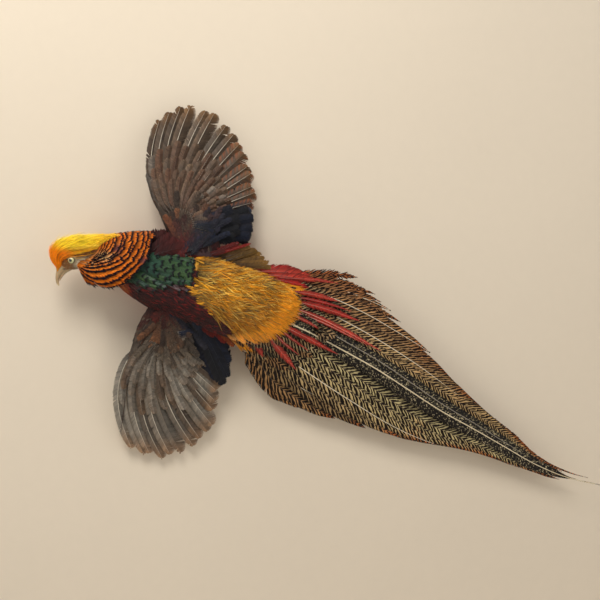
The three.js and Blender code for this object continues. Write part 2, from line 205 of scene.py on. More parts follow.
flesh = {
    "body": formFrom([
        (-231, 62, 86, 6, 5.5), (-222, 62, 92, 12, 9.5), (-208, 62, 97, 15.5, 12.5), (-191, 62, 99, 17, 14),
        (-172, 61, 96, 21, 18), (-152, 59, 86, 29, 27), (-125, 56, 70, 42, 40), (-85, 54, 50, 53, 49),
        (-40, 54, 29, 57, 51.5), (5, 54, 8, 58, 51.5), (45, 56, -11, 56, 43), (76, 58, -26, 47, 30),
        (100, 60, -38, 31, 17), (116, 60, -46, 14, 8),
    ]),
    "armRight": formFrom([
        (-52, 60, 84, 54, 24), (-46, 60, 107, 43, 19), (-49, 58, 128, 35, 13.5),
        (-64, 55, 151, 25, 10), (-81, 51, 171, 14, 7), (-92, 47, 194, 6, 4),
    ]),
    "armLeft": formFrom([
        (-85, 60, 28, 35, 25), (-87, 60, 4, 35, 19), (-98, 57, -20, 38, 13.5),
        (-121, 53, -44, 30, 10), (-145, 47, -68, 15, 7), (-161, 41, -94, 5.5, 4),
    ]),
    "thighLeft": formFrom([
        (-12, 27, -18, 15, 15), (26, 23, -36, 18, 15), (62, 19, -48, 12, 10), (88, 18, -57, 5, 4.6),
    ]),
    "thighRight": formFrom([
        (4, 27, 40, 15, 15), (46, 23, 18, 18, 15), (80, 19, 2, 12, 10), (104, 18, -11, 5, 4.6),
    ]),
}
body = flesh["body"]

# Where each form lies on the unwrapped skin: lowest corner, then width and height.
skinChart = {
    "body": (0.01, 0.01, 0.66, 0.98),
    "armRight": (0.71, 0.01, 0.26, 0.23),
    "armLeft": (0.71, 0.26, 0.26, 0.23),
    "thighLeft": (0.71, 0.51, 0.26, 0.23),
    "thighRight": (0.71, 0.76, 0.26, 0.23),
}


def chartPlace(name, turn, along):
    left, low, width, height = skinChart[name]
    return np.stack([left + width * turn, low + height * along], -1)


def bodyChart(points):
    return chartPlace("body", *formPlace(body, points)[:2])


# How far off the wall the front of a form stands, over points of the wall plane.
def frontOf(form, x, z):
    centres, _, _, sizes = formFrame(form, np.linspace(0, 1, 160))
    gaps = (x[..., None] * mm - centres[:, 0]) ** 2 + (z[..., None] * mm - centres[:, 2]) ** 2
    best = gaps.argmin(-1)
    low = np.sqrt(gaps.min(-1)) / sizes[best, 0]
    front = -centres[best, 1] + np.sqrt(np.clip(1 - low ** 2, 0, 1)) * sizes[best, 1]
    return np.where(low < 1, front / mm, -1000.0)


# Lifts lines of feathers over a form, and eases them down beyond it.
def drapedOver(off, front, clear, passes=4):
    lifted = np.maximum(off, front + clear)
    for _ in range(passes):
        eased = lifted.copy()
        eased[:, 1:-1] = (lifted[:, :-2] + 2 * lifted[:, 1:-1] + lifted[:, 2:]) / 4
        lifted = np.maximum(eased, front + clear)
    return lifted


def overBody(points, clear, passes=6):
    front = frontOf(body, *planeOf(points))
    points = points.copy()
    points[..., 1] = -drapedOver(-points[..., 1] / mm, front, clear, passes) * mm
    return points


# Meshes. A part is vertices, four- and three-sided faces, their corners on the chart and the vane, and tints.

def makePart(verts, quads, tris, chart, vane, tint, finish=0):
    quads = np.asarray(quads, int).reshape(-1, 4)
    tris = np.asarray(tris, int).reshape(-1, 3)
    if not isinstance(chart, tuple):
        chart = (chart[quads], chart[tris])
    return {
        "verts": verts, "quads": quads, "tris": tris, "chart": chart,
        "vane": (vane[quads], vane[tris]), "tint": tint, "finish": finish,
    }


def buildMesh(name, parts, smooth):
    offsets = np.cumsum([0] + [len(part["verts"]) for part in parts])
    quads, tris = (
        np.concatenate([part[key] + at for part, at in zip(parts, offsets)]) for key in ("quads", "tris")
    )
    finishes = [np.full(len(part[key]), part["finish"]) for key in ("quads", "tris") for part in parts]
    sizes = np.repeat([4, 3], [len(quads), len(tris)])
    verts = np.concatenate([part["verts"] for part in parts])
    mesh = bpy.data.meshes.new(name)
    mesh.vertices.add(len(verts))
    mesh.vertices.foreach_set("co", verts.astype(np.float32).ravel())
    mesh.loops.add(sizes.sum())
    mesh.loops.foreach_set("vertex_index", np.concatenate([quads.ravel(), tris.ravel()]).astype(np.int32))
    mesh.polygons.add(len(sizes))
    mesh.polygons.foreach_set("loop_start", (np.cumsum(sizes) - sizes).astype(np.int32))
    mesh.polygons.foreach_set("loop_total", sizes.astype(np.int32))
    mesh.polygons.foreach_set("material_index", np.concatenate(finishes).astype(np.int32))
    for layerName, key in (("OFBake", "chart"), ("vane", "vane")):
        corners = np.concatenate([part[key][at].reshape(-1, 2) for at in (0, 1) for part in parts])
        mesh.uv_layers.new(name=layerName).uv.foreach_set("vector", corners.astype(np.float32).ravel())
    tints = np.concatenate([part["tint"] for part in parts])
    attribute = mesh.color_attributes.new(name="tint", type="FLOAT_COLOR", domain="POINT")
    attribute.data.foreach_set("color", tints.astype(np.float32).ravel())
    mesh.update(calc_edges=True)
    mesh.validate()
    if smooth:
        mesh.shade_smooth()
    else:
        mesh.shade_flat()
    return mesh


def addPiece(name, parts, finishes, replaced=(), smooth=False):
    piece = bpy.data.objects.new(name, buildMesh(name, parts, smooth))
    scene.collection.objects.link(piece)
    for material in finishes:
        piece.data.materials.append(material)
    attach(piece, "root")
    if replaced:
        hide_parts(*replaced)
    faces = sum(2 * len(part["quads"]) + len(part["tris"]) for part in parts)
    print(f"made {name}: {faces} triangles")


def stripFaces(rows):
    quads = []
    for a in range(0, 3 * (rows - 2), 3):
        b = a + 3
        quads += [(a, a + 1, b + 1, b), (a + 1, a + 2, b + 2, b + 1), (a, b, b + 2, a + 2)]
    last = 3 * (rows - 2)
    tip = last + 3
    tris = [(0, 2, 1), (last, last + 1, tip), (last + 1, last + 2, tip), (last + 2, last, tip)]
    return np.array(quads), np.array(tris)


# Thin closed strips, each with two edges and a raised ridge, that run along a path and end in a point.
def strips(path, normals, halfWidth, thick, tints, chart, vane, arch):
    count, rows = path.shape[:2]
    forward = unit(np.gradient(path, axis=1))
    side = unit(np.cross(forward, normals))
    up = np.cross(side, forward)
    width = halfWidth[..., None]
    left = path - side * width - up * width * arch
    right = path + side * width - up * width * arch
    ridge = path + up * thick[..., None]
    rings = np.stack([left, ridge, right], 2)[:, :-1].reshape(count, -1, 3)
    verts = np.concatenate([rings, path[:, -1:]], 1)
    size = verts.shape[1]
    quads, tris = stripFaces(rows)
    steps = (np.arange(count) * size)[:, None, None]

    def spread(values):
        flat = np.concatenate([values[:, :-1].reshape(count, size - 1, -1), values[:, -1:, 1]], 1)
        return flat.reshape(-1, flat.shape[-1])

    tintRows = np.repeat(tints[:, :, None, :], 3, 2)
    corners = (spread(chart), spread(vane), spread(tintRows))
    return makePart(verts.reshape(-1, 3), quads + steps, tris + steps, *corners)


tuftPatch = 0.003        # each strip of a coat is a small patch round its root's place on the chart


def patchChart(roots, rows):
    local = np.zeros((rows, 3, 2))
    local[:, :, 0] = (-0.5, 0.0, 0.5)
    local[:, :, 1] = np.linspace(-0.5, 0.5, rows)[:, None]
    local[:, 1, 1] += 0.06
    return roots[:, None, None, :] + local[None] * tuftPatch


# Strips of a coat. They thin towards the tip by the share given.
def lockStrips(path, normals, half, thick, thinning, tints, roots, stops, arch):
    depth = thick * mm * (1 - thinning * stops) + np.zeros((len(path), 1))
    vane = np.zeros((len(path), len(stops), 3, 2))
    vane[..., 0] = (0.0, 0.5, 1.0)
    vane[..., 1] = np.asarray(stops)[:, None]
    return strips(path, normals, half, depth, tints, patchChart(roots, len(stops)), vane, arch)


# Closed tubes from rings of points, with a fan over each end.
def ringTubes(rings, chartBox, tints):
    count, rows, sides = rings.shape[:3]
    verts = np.concatenate([rings.reshape(count, -1, 3), rings[:, :1].mean(2), rings[:, -1:].mean(2)], 1)
    size = verts.shape[1]
    end = (rows - 1) * sides
    quads, tris, quadCharts, triCharts = [], [], [], []
    for side in range(sides):
        after = (side + 1) % sides
        here, beyond, half = side / sides, (side + 1) / sides, (side + 0.5) / sides
        for row in range(rows - 1):
            a = row * sides
            b = a + sides
            quads.append((a + side, a + after, b + after, b + side))
            quadCharts.append([(here, row), (beyond, row), (beyond, row + 1), (here, row + 1)])
        tris += [(size - 2, after, side), (size - 1, end + side, end + after)]
        triCharts.append([(half, -0.5), (beyond, 0), (here, 0)])
        triCharts.append([(half, rows - 0.5), (here, rows - 1), (beyond, rows - 1)])
    steps = (np.arange(count) * size)[:, None, None]

    def placed(local):
        local = (np.array(local, float) + (0, 0.5)) / (1, rows)
        corners = chartBox[:, None, None, :2] + local[None] * chartBox[:, None, None, 2:]
        return corners.reshape(-1, local.shape[1], 2)

    vane = np.zeros((count, size, 2))
    vane[:, :-2, 0] = np.tile(np.arange(sides) / sides, rows)
    vane[:, :-2, 1] = np.repeat(np.linspace(0, 1, rows), sides)
    vane[:, -1, 1] = 1
    tintRows = np.repeat(tints[:, :, None, :], sides, 2).reshape(count, -1, 4)
    tint = np.concatenate([tintRows, tints[:, :1], tints[:, -1:]], 1)
    chart = (placed(quadCharts), placed(triCharts))
    quads, tris = (np.array(faces) + steps for faces in (quads, tris))
    return makePart(verts.reshape(-1, 3), quads, tris, chart, vane.reshape(-1, 2), tint.reshape(-1, 4))


# One tube, on its own box of the chart: lowest corner, then width and height.
def tubePart(rings, tints, box=(0.02, 0.02, 0.96, 0.96)):
    return ringTubes(rings[None], np.array([box]), tints[None])


# Materials. Effects that several of them use are node groups.

def feed(tree, value, socket):
    if isinstance(value, bpy.types.NodeSocket):
        tree.links.new(value, socket)
    else:
        socket.default_value = value


def addNode(tree, kind, settings=(), **inputs):
    node = tree.nodes.new(kind)
    for key, value in dict(settings).items():
        setattr(node, key, value)
    for label, value in inputs.items():
        feed(tree, value, node.inputs[label.replace("_", " ")])
    return node


def mathNode(tree, operation, *values):
    node = addNode(tree, "ShaderNodeMath", {"operation": operation})
    for value, socket in zip(values, node.inputs):
        feed(tree, value, socket)
    return node.outputs[0]


def sumsOf(tree):
    def calling(operation):
        return lambda *values: mathNode(tree, operation, *values)
    return calling("ADD"), calling("SUBTRACT"), calling("MULTIPLY")


def newGroup(name, outputs, takesVane, **floats):
    tree = bpy.data.node_groups.new(name, "ShaderNodeTree")
    if takesVane:
        tree.interface.new_socket(name="Vane", in_out="INPUT", socket_type="NodeSocketVector")
    for label, value in floats.items():
        socket = tree.interface.new_socket(name=label, in_out="INPUT", socket_type="NodeSocketFloat")
        socket.default_value = value
    for label in outputs:
        tree.interface.new_socket(name=label, in_out="OUTPUT", socket_type="NodeSocketFloat")
    taken = tree.nodes.new("NodeGroupInput").outputs
    given = tree.nodes.new("NodeGroupOutput").inputs
    return tree, taken, given


# Fine barbs that slant back from the shaft of a small feather, as a shade and a height.
def barbGrainGroup():
    outputs = ("Shade", "Height")
    tree, taken, given = newGroup("barbGrain", outputs, True, Lines=14.0, Slant=5.0, Contrast=0.25)
    add, subtract, multiply = sumsOf(tree)
    split = addNode(tree, "ShaderNodeSeparateXYZ", Vector=taken["Vane"]).outputs
    aside = mathNode(tree, "ABSOLUTE", subtract(split[0], 0.5))
    phase = multiply(subtract(multiply(split[1], taken["Lines"]), multiply(aside, taken["Slant"])), fullTurn)
    height = add(multiply(mathNode(tree, "SINE", phase), 0.5), 0.5)
    depth = multiply(subtract(1.0, height), taken["Contrast"])
    feed(tree, subtract(1.0, depth), given["Shade"])
    feed(tree, height, given["Height"])
    return tree


# Slow changes of light and dark over a surface, with finer flecks on top.
def mottleGroup():
    tree, taken, given = newGroup("mottle", ("Shade", "Mask"), False, Scale=60.0, Fleck=900.0, Amount=0.3)
    add, subtract, multiply = sumsOf(tree)
    where = addNode(tree, "ShaderNodeTexCoord").outputs["Object"]
    broad, fine = (
        addNode(tree, "ShaderNodeTexNoise", Vector=where, Scale=taken[size], Detail=detail).outputs[0]
        for size, detail in (("Scale", 3), ("Fleck", 2))
    )
    swing = multiply(subtract(add(broad, multiply(fine, 0.5)), 0.75), 2.0)
    feed(tree, add(1.0, multiply(swing, taken["Amount"])), given["Shade"])
    feed(tree, broad, given["Mask"])
    return tree


# Dark wavy bars across a long feather. The vane's x is the distance along the shaft, y the distance from it.
def barsGroup():
    tree, taken, given = newGroup("bars", ("Mask",), True, Pitch=0.006, Waver=0.004, Share=0.0)
    add, subtract, multiply = sumsOf(tree)
    split = addNode(tree, "ShaderNodeSeparateXYZ", Vector=taken["Vane"]).outputs
    noise = addNode(tree, "ShaderNodeTexNoise", Vector=taken["Vane"], Scale=95, Detail=2).outputs[0]
    waver = multiply(subtract(noise, 0.5), taken["Waver"])
    place = add(split[0], multiply(waver, 4.0))
    phase = multiply(mathNode(tree, "DIVIDE", place, taken["Pitch"]), fullTurn)
    level = add(mathNode(tree, "SINE", phase), taken["Share"])
    feed(tree, softStep(tree, level, -0.35, 0.35), given["Mask"])
    return tree


def softStep(tree, value, low, high):
    smooth = {"interpolation_type": "SMOOTHSTEP"}
    return addNode(tree, "ShaderNodeMapRange", smooth, Value=value, From_Min=low, From_Max=high).outputs[0]


groups = {"barbGrain": barbGrainGroup(), "mottle": mottleGroup(), "bars": barsGroup()}


def useGroup(tree, name, **values):
    return addNode(tree, "ShaderNodeGroup", {"node_tree": groups[name]}, **values).outputs


def newMaterial(name, roughness, **sockets):
    material = bpy.data.materials.new(name)
    material.use_nodes = True
    tree = material.node_tree
    shader = next(node for node in tree.nodes if node.type == "BSDF_PRINCIPLED").inputs
    for label, value in dict(sockets, Roughness=roughness).items():
        shader[label.replace("_", " ")].default_value = value
    return material, tree, shader


def blendNode(tree, factor, first, second, kind="MIX"):
    node = addNode(tree, "ShaderNodeMix", {"data_type": "RGBA", "blend_type": kind}, Factor=factor)
    feed(tree, first, node.inputs[6])
    feed(tree, second, node.inputs[7])
    return node.outputs[2]


def multiplied(tree, colour, value):
    return blendNode(tree, 1, colour, value, "MULTIPLY")


def addBump(tree, shader, height, strength, distance):
    bump = addNode(tree, "ShaderNodeBump", Strength=strength, Distance=distance, Height=height)
    feed(tree, bump.outputs[0], shader["Normal"])


def tintNode(tree):
    return addNode(tree, "ShaderNodeVertexColor", {"layer_name": "tint"}).outputs[0]


def vaneNode(tree):
    return addNode(tree, "ShaderNodeUVMap", {"uv_map": "vane"}).outputs[0]


# A mottled surface: a pattern, or else the mesh's own tints, and a relief from the mottle or from cells.
def mottledMaterial(name, roughness, mottling, relief, pattern=tintNode, cells=0, **sockets):
    material, tree, shader = newMaterial(name, roughness, **sockets)
    mottle = useGroup(tree, "mottle", **dict(zip(("Scale", "Fleck", "Amount"), mottling)))
    feed(tree, multiplied(tree, pattern(tree), mottle["Shade"]), shader["Base Color"])
    height = mottle["Mask"]
    if cells:
        where = addNode(tree, "ShaderNodeTexCoord").outputs["Object"]
        height = addNode(tree, "ShaderNodeTexVoronoi", Vector=where, Scale=cells).outputs["Distance"]
    addBump(tree, shader, height, *relief)
    return material


# A coat of small feathers: tint, barbs and mottling.
def coatMaterial(name, roughness, lines, contrast, amount, specular=0.25):
    material, tree, shader = newMaterial(name, roughness, Specular_IOR_Level=specular)
    grain = useGroup(tree, "barbGrain", Vane=vaneNode(tree), Lines=lines, Contrast=contrast)
    mottle = useGroup(tree, "mottle", Amount=amount)
    colour = multiplied(tree, multiplied(tree, tintNode(tree), grain["Shade"]), mottle["Shade"])
    feed(tree, colour, shader["Base Color"])
    addBump(tree, shader, grain["Height"], 0.3, 0.0002)
    return material


def pinMaterial():
    return mottledMaterial("featherShaft", 0.35, (220.0, 1800.0, 0.2), (0.2, 0.0002), Coat_Weight=0.2)


# Camera and stage.

camera = {
    "place": (-0.1716, -1.5747, 0.2489),
    "right": (0.97567, -0.19590, -0.09846),
    "up": (0.12725, 0.14021, 0.98191),
    "forward": (0.17855, 0.97055, -0.16173),
    "lens": 62.25, "sensor": 36.0, "shiftUp": -1 / 600,
}
stage = {
    "wall": "dccdb6", "floor": "ddd6cc", "wallGap": 0.0004, "wallSize": 4.0, "wallTall": 3, "floorDrop": 0.62,
    "floorDepth": 3.0, "world": "f2f2f4", "worldStrength": 0.45,
}
# Each light: place, target, size and power.
lights = {
    "key": ((-0.35, -1.15, 1.45), (0.1, -0.03, 0.0), 0.7, 25.5),
    "fill": ((1.5, -1.6, 0.5), (0.1, 0.0, -0.05), 1.4, 5.0),
    "side": ((-1.6, -1.2, 0.1), (0.0, 0.0, 0.0), 1.2, 4.5),
    "behind": ((0.4, 1.7, 0.9), (0.1, 0.0, 0.0), 1.4, 24.0),
    "below": ((0.3, 0.6, -1.3), (0.1, 0.0, 0.0), 1.2, 7.0),
}


def addHolder(name, data, columns):
    holder = bpy.data.objects.new(name, data)
    holder.matrix_world = Matrix([[column[row] for column in columns] for row in range(3)] + [[0, 0, 0, 1]])
    scene.collection.objects.link(holder)
    return holder


def addCamera():
    data = bpy.data.cameras.new("camera")
    data.lens = camera["lens"]
    data.sensor_width = camera["sensor"]
    data.shift_y = camera["shiftUp"]
    data.clip_start = 0.05
    data.clip_end = 30
    back = [-value for value in camera["forward"]]
    scene.camera = addHolder("camera", data, (camera["right"], camera["up"], back, camera["place"]))


def addLights():
    for name, (place, target, size, power) in lights.items():
        data = bpy.data.lights.new(name, "AREA")
        data.size = size
        data.energy = power
        place = np.array(place)
        back = unit(place - np.array(target))
        side = unit(np.cross((0.0, 0.0, 1.0), back))
        addHolder(name, data, (side, np.cross(back, side), back, place))


# A stage surface shows from its front only, and lets the studio's light through from behind it.
def stageMaterial(name, colour):
    material, tree, shader = newMaterial(name, 0.95)
    mottle = useGroup(tree, "mottle", Scale=3.0, Fleck=60.0, Amount=0.03)
    base = addNode(tree, "ShaderNodeRGB").outputs[0]
    base.default_value = tuple(tone(colour))
    feed(tree, multiplied(tree, base, mottle["Shade"]), shader["Base Color"])
    facing = addNode(tree, "ShaderNodeNewGeometry").outputs["Backfacing"]
    path = addNode(tree, "ShaderNodeLightPath").outputs["Is Shadow Ray"]
    mix = tree.nodes.new("ShaderNodeMixShader")
    paint = next(node for node in tree.nodes if node.type == "BSDF_PRINCIPLED").outputs[0]
    clear = addNode(tree, "ShaderNodeBsdfTransparent").outputs[0]
    for socket, value in zip(mix.inputs, (mathNode(tree, "MAXIMUM", facing, path), paint, clear)):
        feed(tree, value, socket)
    output = next(node for node in tree.nodes if node.type == "OUTPUT_MATERIAL")
    feed(tree, mix.outputs[0], output.inputs["Surface"])
    return material


def addPlane(name, corners, colour):
    mesh = bpy.data.meshes.new(name)
    mesh.from_pydata(corners, [], [tuple(range(len(corners)))])
    mesh.materials.append(stageMaterial(f"{name}Paint", colour))
    plane = bpy.data.objects.new(name, mesh)
    scene.collection.objects.link(plane)


def addStage():
    half = stage["wallSize"] / 2
    front = -stage["floorDepth"]
    back = stage["wallGap"]
    low = cadBox[0][2] - stage["floorDrop"]
    high = low + stage["wallTall"]
    foot = [(-half, back, low), (half, back, low)]
    addPlane("wall", foot + [(half, back, high), (-half, back, high)], stage["wall"])
    addPlane("floor", [(-half, front, low), (half, front, low)] + foot[::-1], stage["floor"])
    scene.world = bpy.data.worlds.new("studio")
    scene.world.use_nodes = True
    sky = scene.world.node_tree.nodes["Background"].inputs
    sky["Color"].default_value = tuple(tone(stage["world"]))
    sky["Strength"].default_value = stage["worldStrength"]
    scene.view_settings.view_transform = "Standard"


addCamera()
addStage()
addLights()
print("camera and stage are set")


# Markings. The skin and the coat over it take their colour from the same places on each form.

addTones(
    bareSkin="96805f", face="6e4120", cheek="e4d4b0", browTone="9a5a20", lore="a8703a", throat="94572a",
    neck="a3521c", green="2c4630", teal="1c3b34", maroon="3a100e", scarlet="7d130c", breast="a41f12",
    belly="8f1c10", vent="5e2a1a", gold="e8a020", lemon="f8d468", amber="df8410", olive="75633a",
    armBrown="4a3a2c", armGrey="5c5248", armMaroon="3c1814", under="5f554c", thigh="6d2114",
    tailRoot="3a2a1c", navy="141a2c",
)

# The golden rump and the green mantle, seen square on to the wall: x, z.
rumpOutline = [
    (-50, 80), (-27, 81), (22, 70), (53, 47), (96, 21), (95, 5), (78, -15), (58, -32), (30, -54), (5, -53),
    (-9, -23), (-29, -6), (-51, 18), (-61, 36),
]
mantleOutline = [
    (-156, 60), (-132, 50), (-110, 46), (-71, 45), (-56, 46), (-52, 60), (-50, 82), (-66, 92), (-80, 102),
    (-101, 113), (-128, 104),
]


def within(points, outline):
    x, z = planeOf(points)
    inside = np.zeros(x.shape, bool)
    for (x0, z0), (x1, z1) in zip(outline, outline[1:] + outline[:1]):
        crosses = (z0 > z) != (z1 > z)
        inside ^= crosses & (x < (x1 - x0) * (z - z0) / (z1 - z0 + 1e-9) + x0)
    return inside


def tailDistance(points):
    x, z = planeOf(points)
    return (x - 60) * 0.819 - (z + 20) * 0.574


def backOf(turn):
    return np.sin(2 * np.pi * turn)


def lowOn(points, along):
    centre, across, _, _ = formFrame(body, along)
    return ((points - centre) * across).sum(-1) / mm


# A squarer spot than near gives.
def patchAt(x, z, place, size):
    return np.exp(-(((x - place[0]) / size[0]) ** 2 + ((z - place[1]) / size[1]) ** 2) ** 2)


def bodyTones(turn, along, points):
    x, z = planeOf(points)
    back = backOf(turn)
    upper = rampOf(-0.25, 0.05, back)
    onBack = rampOf(-0.12, 0.06, back)
    mantle = upper * within(points, mantleOutline)
    rump = onBack * within(points, rumpOutline)
    head = 1 - rampOf(-190, -180, x)
    return painted(
        np.broadcast_to(tone("breast"), x.shape + (4,)),
        ("belly", rampOf(-60, 20, x)),
        ("vent", rampOf(45, 85, x)),
        ("throat", 1 - rampOf(-165, -145, x)),
        ("neck", rampOf(-185, -175, x) * (1 - rampOf(-150, -140, x)) * rampOf(-0.3, 0.3, back)),
        ("maroon", upper * rampOf(-150, -140, x)),
        ("scarlet", upper * rampOf(-70, -40, x) * rampOf(20, 30, -lowOn(points, along)) * 0.7),
        ("green", mantle),
        ("teal", mantle * rampOf(-100, -55, x) * 0.75),
        ("tailRoot", onBack * rampOf(-25, 5, tailDistance(points))),
        ("gold", rump),
        ("amber", rump * rampOf(-14, 10, tailDistance(points)) * 0.85),
        ("face", head),
        ("cheek", head * patchAt(x, z, (-202, 88), (14, 11))),
        ("browTone", head * patchAt(x, z, (-203, 103), (12, 4)) * 0.7),
        ("lore", (1 - rampOf(-220, -213, x)) * 0.7),
    )


def armTones(turn, along, points):
    x, z = planeOf(points)
    navyAbove = rampOf(-24, -14, x) * rampOf(92, 100, z)
    navyBelow = rampOf(-66, -58, x) * rampOf(-12, 2, 14 - z)
    return painted(
        np.broadcast_to(tone("armBrown"), x.shape + (4,)),
        ("armGrey", rampOf(0.35, 0.9, along)),
        ("armMaroon", 1 - rampOf(0.18, 0.5, along)),
        ("maroon", 1 - rampOf(0.0, 0.28, along)),
        ("navy", np.where(z > 60, navyAbove, navyBelow)),
        ("under", rampOf(0.05, 0.3, -backOf(turn))),
    )


def thighTones(turn, along, points):
    return np.broadcast_to(tone("thigh"), points.shape[:-1] + (4,))


def markings(name, turn, along, points):
    marked = {"body": bodyTones, "armRight": armTones, "armLeft": armTones}
    return marked.get(name, thighTones)(turn, along, points)


# The skin: all the forms of flesh as one closed surface, inside the solids by the depth of the coat.

skin = {
    "voxel": 1.6, "smooth": 6, "rings": 90, "around": 56,
    "depth": [0.7, 0.8, 0.9, 1.2, 2.2, 3.2, 4, 4.5, 4.5, 4.5, 4.5, 4, 3, 2], "limbDepth": 2.2,
}
eye = {
    "place": (-218, 62, 96.5), "aside": 6.9, "radius": 5.4, "aim": (0.35, 1.0, 0.02),
    "socketDip": 1.6, "socketWidth": 5.2, "bareRing": 7.9,
    "polar": [2, 8, 13, 17, 18.5, 20, 28, 36, 46, 56, 60, 64, 78, 95, 120, 150, 176],
    "tones": [
        "0b0a09", "0b0a09", "0b0a09", "0b0a09", "0b0a09", "5d5a34", "b5b178", "c9c794", "c4c08c", "a8a26a",
        "4a4430", "241f18", "201c16", "201c16", "201c16", "201c16", "201c16",
    ],
}
# Two rings of soft rolls round each eye, thicker above.
lidRolls = [
    {"open": 4.75, "tall": 0.88, "slant": 0.08, "lift": 2.7, "thick": 0.42, "tone": "4c3f2c"},
    {"open": 5.6, "tall": 0.88, "slant": 0.12, "lift": 1.8, "thick": 0.6, "tone": "8a7758"},
]


# The centre of an eye, and its axes: out of the head, across and up.
def eyeFrame(side):
    x, off, z = eye["place"]
    forward, out, up = eye["aim"]
    axis = unit(np.array([-forward, -side * out, up]))
    up = unit(np.array([0.0, 0.0, 1.0]) - axis[2] * axis)
    return np.array([x, -(off + side * eye["aside"]), z]) * mm, axis, np.cross(axis, up), up


def skinBlank():
    verts, faces, start = [], [], 0
    rings, around = skin["rings"], skin["around"]
    for name, form in flesh.items():
        along = np.linspace(0, 1, rings)
        depth = smoothLine(skin["depth"], along) if name == "body" else np.full(rings, skin["limbDepth"])
        verts.append(loftRings(form, rings, around, -depth * mm).reshape(-1, 3))
        for ring in range(rings - 1):
            for step in range(around):
                a = start + ring * around
                after = (step + 1) % around
                faces.append((a + step, a + after, a + around + after, a + around + step))
        faces.append(tuple(range(start + around - 1, start - 1, -1)))
        faces.append(tuple(range(start + (rings - 1) * around, start + rings * around)))
        start += rings * around
    mesh = bpy.data.meshes.new("skinBlank")
    mesh.from_pydata(np.concatenate(verts).tolist(), [], faces)
    blank = bpy.data.objects.new("skinBlank", mesh)
    scene.collection.objects.link(blank)
    remesh = blank.modifiers.new("remesh", "REMESH")
    remesh.mode = "VOXEL"
    remesh.voxel_size = skin["voxel"] * mm
    smooth = blank.modifiers.new("smooth", "SMOOTH")
    smooth.factor = 0.5
    smooth.iterations = skin["smooth"]
    return blank


def meshArrays(mesh):
    verts = np.zeros(len(mesh.vertices) * 3)
    mesh.vertices.foreach_get("co", verts)
    starts = np.zeros(len(mesh.polygons), int)
    mesh.polygons.foreach_get("loop_start", starts)
    corners = np.zeros(len(mesh.loops), int)
    mesh.loops.foreach_get("vertex_index", corners)
    return verts.reshape(-1, 3), corners[starts[:, None] + np.arange(4)]


def sinkSockets(verts):
    for side in (1, -1):
        centre, axis, _, _ = eyeFrame(side)
        gaps = verts - centre
        depth = gaps @ axis
        ring = np.linalg.norm(gaps - depth[:, None] * axis, axis=1)
        sink = np.exp(-(ring / (eye["socketWidth"] * mm)) ** 2) * (depth > 0) * eye["socketDip"] * mm
        verts -= sink[:, None] * axis
    return verts


def skinTones(name, turn, along, points):
    colours = shaded(markings(name, turn, along, points), np.full(len(points), 0.6))
    x = points[:, 0] / mm
    return mixTone(colours, "bareSkin", rampOf(-220, -213, x) * (1 - rampOf(-204, -196, x)))


def skinPart():
    blank = skinBlank()
    shaped = bpy.data.meshes.new_from_object(blank.evaluated_get(bpy.context.evaluated_depsgraph_get()))
    verts, quads = meshArrays(shaped)
    bpy.data.objects.remove(blank)
    verts = sinkSockets(verts)
    places = [formPlace(form, verts) for form in flesh.values()]
    nearest = np.argmin([np.abs(reach - 0.95) for _, _, reach in places], axis=0)
    chart = np.zeros((len(quads), 4, 2))
    tint = np.zeros((len(verts), 4))
    for at, name in enumerate(flesh):
        turn, along, _ = places[at]
        own = nearest == at
        tint[own] = skinTones(name, turn[own], along[own], verts[own])
        rows = own[quads[:, 0]]
        turns = turn[quads[rows]]
        wraps = turns < turns.max(1, keepdims=True) - 0.5
        chart[rows] = chartPlace(name, turns + wraps, along[quads[rows]])
    return makePart(verts, quads, [], (chart, np.zeros((0, 3, 2))), verts[:, [0, 2]] * 4, tint)


def lidParts(side):
    centre, axis, across, up = eyeFrame(side)
    steps, sides = 28, 8
    turn = np.linspace(0, 2 * np.pi, steps, endpoint=False)
    angle = 2 * np.pi * np.arange(sides) / sides
    quads = []
    for a in range(0, steps * sides, sides):
        b = (a + sides) % (steps * sides)
        for edge in range(sides):
            after = (edge + 1) % sides
            quads.append((a + edge, a + after, b + after, b + edge))
    parts = []
    for row in lidRolls:
        slit = 1 + row["slant"] * np.abs(np.cos(turn))
        away = across * np.cos(turn)[:, None] * slit[:, None] + up * np.sin(turn)[:, None] * row["tall"]
        middle = centre + axis * (row["lift"] * mm) + away * (row["open"] * mm)
        bulge = row["thick"] * mm * (1 + 0.35 * np.sin(turn))
        radial = unit(away)[:, None] * np.cos(angle)[:, None] + axis * np.sin(angle)[:, None]
        verts = (middle[:, None] + bulge[:, None, None] * radial).reshape(-1, 3)
        tint = evenTone(row["tone"], len(verts))
        parts.append(makePart(verts, quads, [], bodyChart(verts), verts[:, [0, 2]] * 4, tint))
    return parts


def addSkin():
    nodes = ("head", "neck", "trunk", "rump", "wing_arm_right", "wing_arm_left", "thigh_left", "thigh_right")
    relief = (0.4, 0.0004)
    pores = mottledMaterial("skin", 0.62, (140.0, 1500.0, 0.35), relief, cells=900, Subsurface_Weight=0.05)
    addPiece("skin", [skinPart()] + lidParts(1) + lidParts(-1), [pores], nodes, smooth=True)


# Coats. Feathers stand in staggered rows on a form and lie back along it.

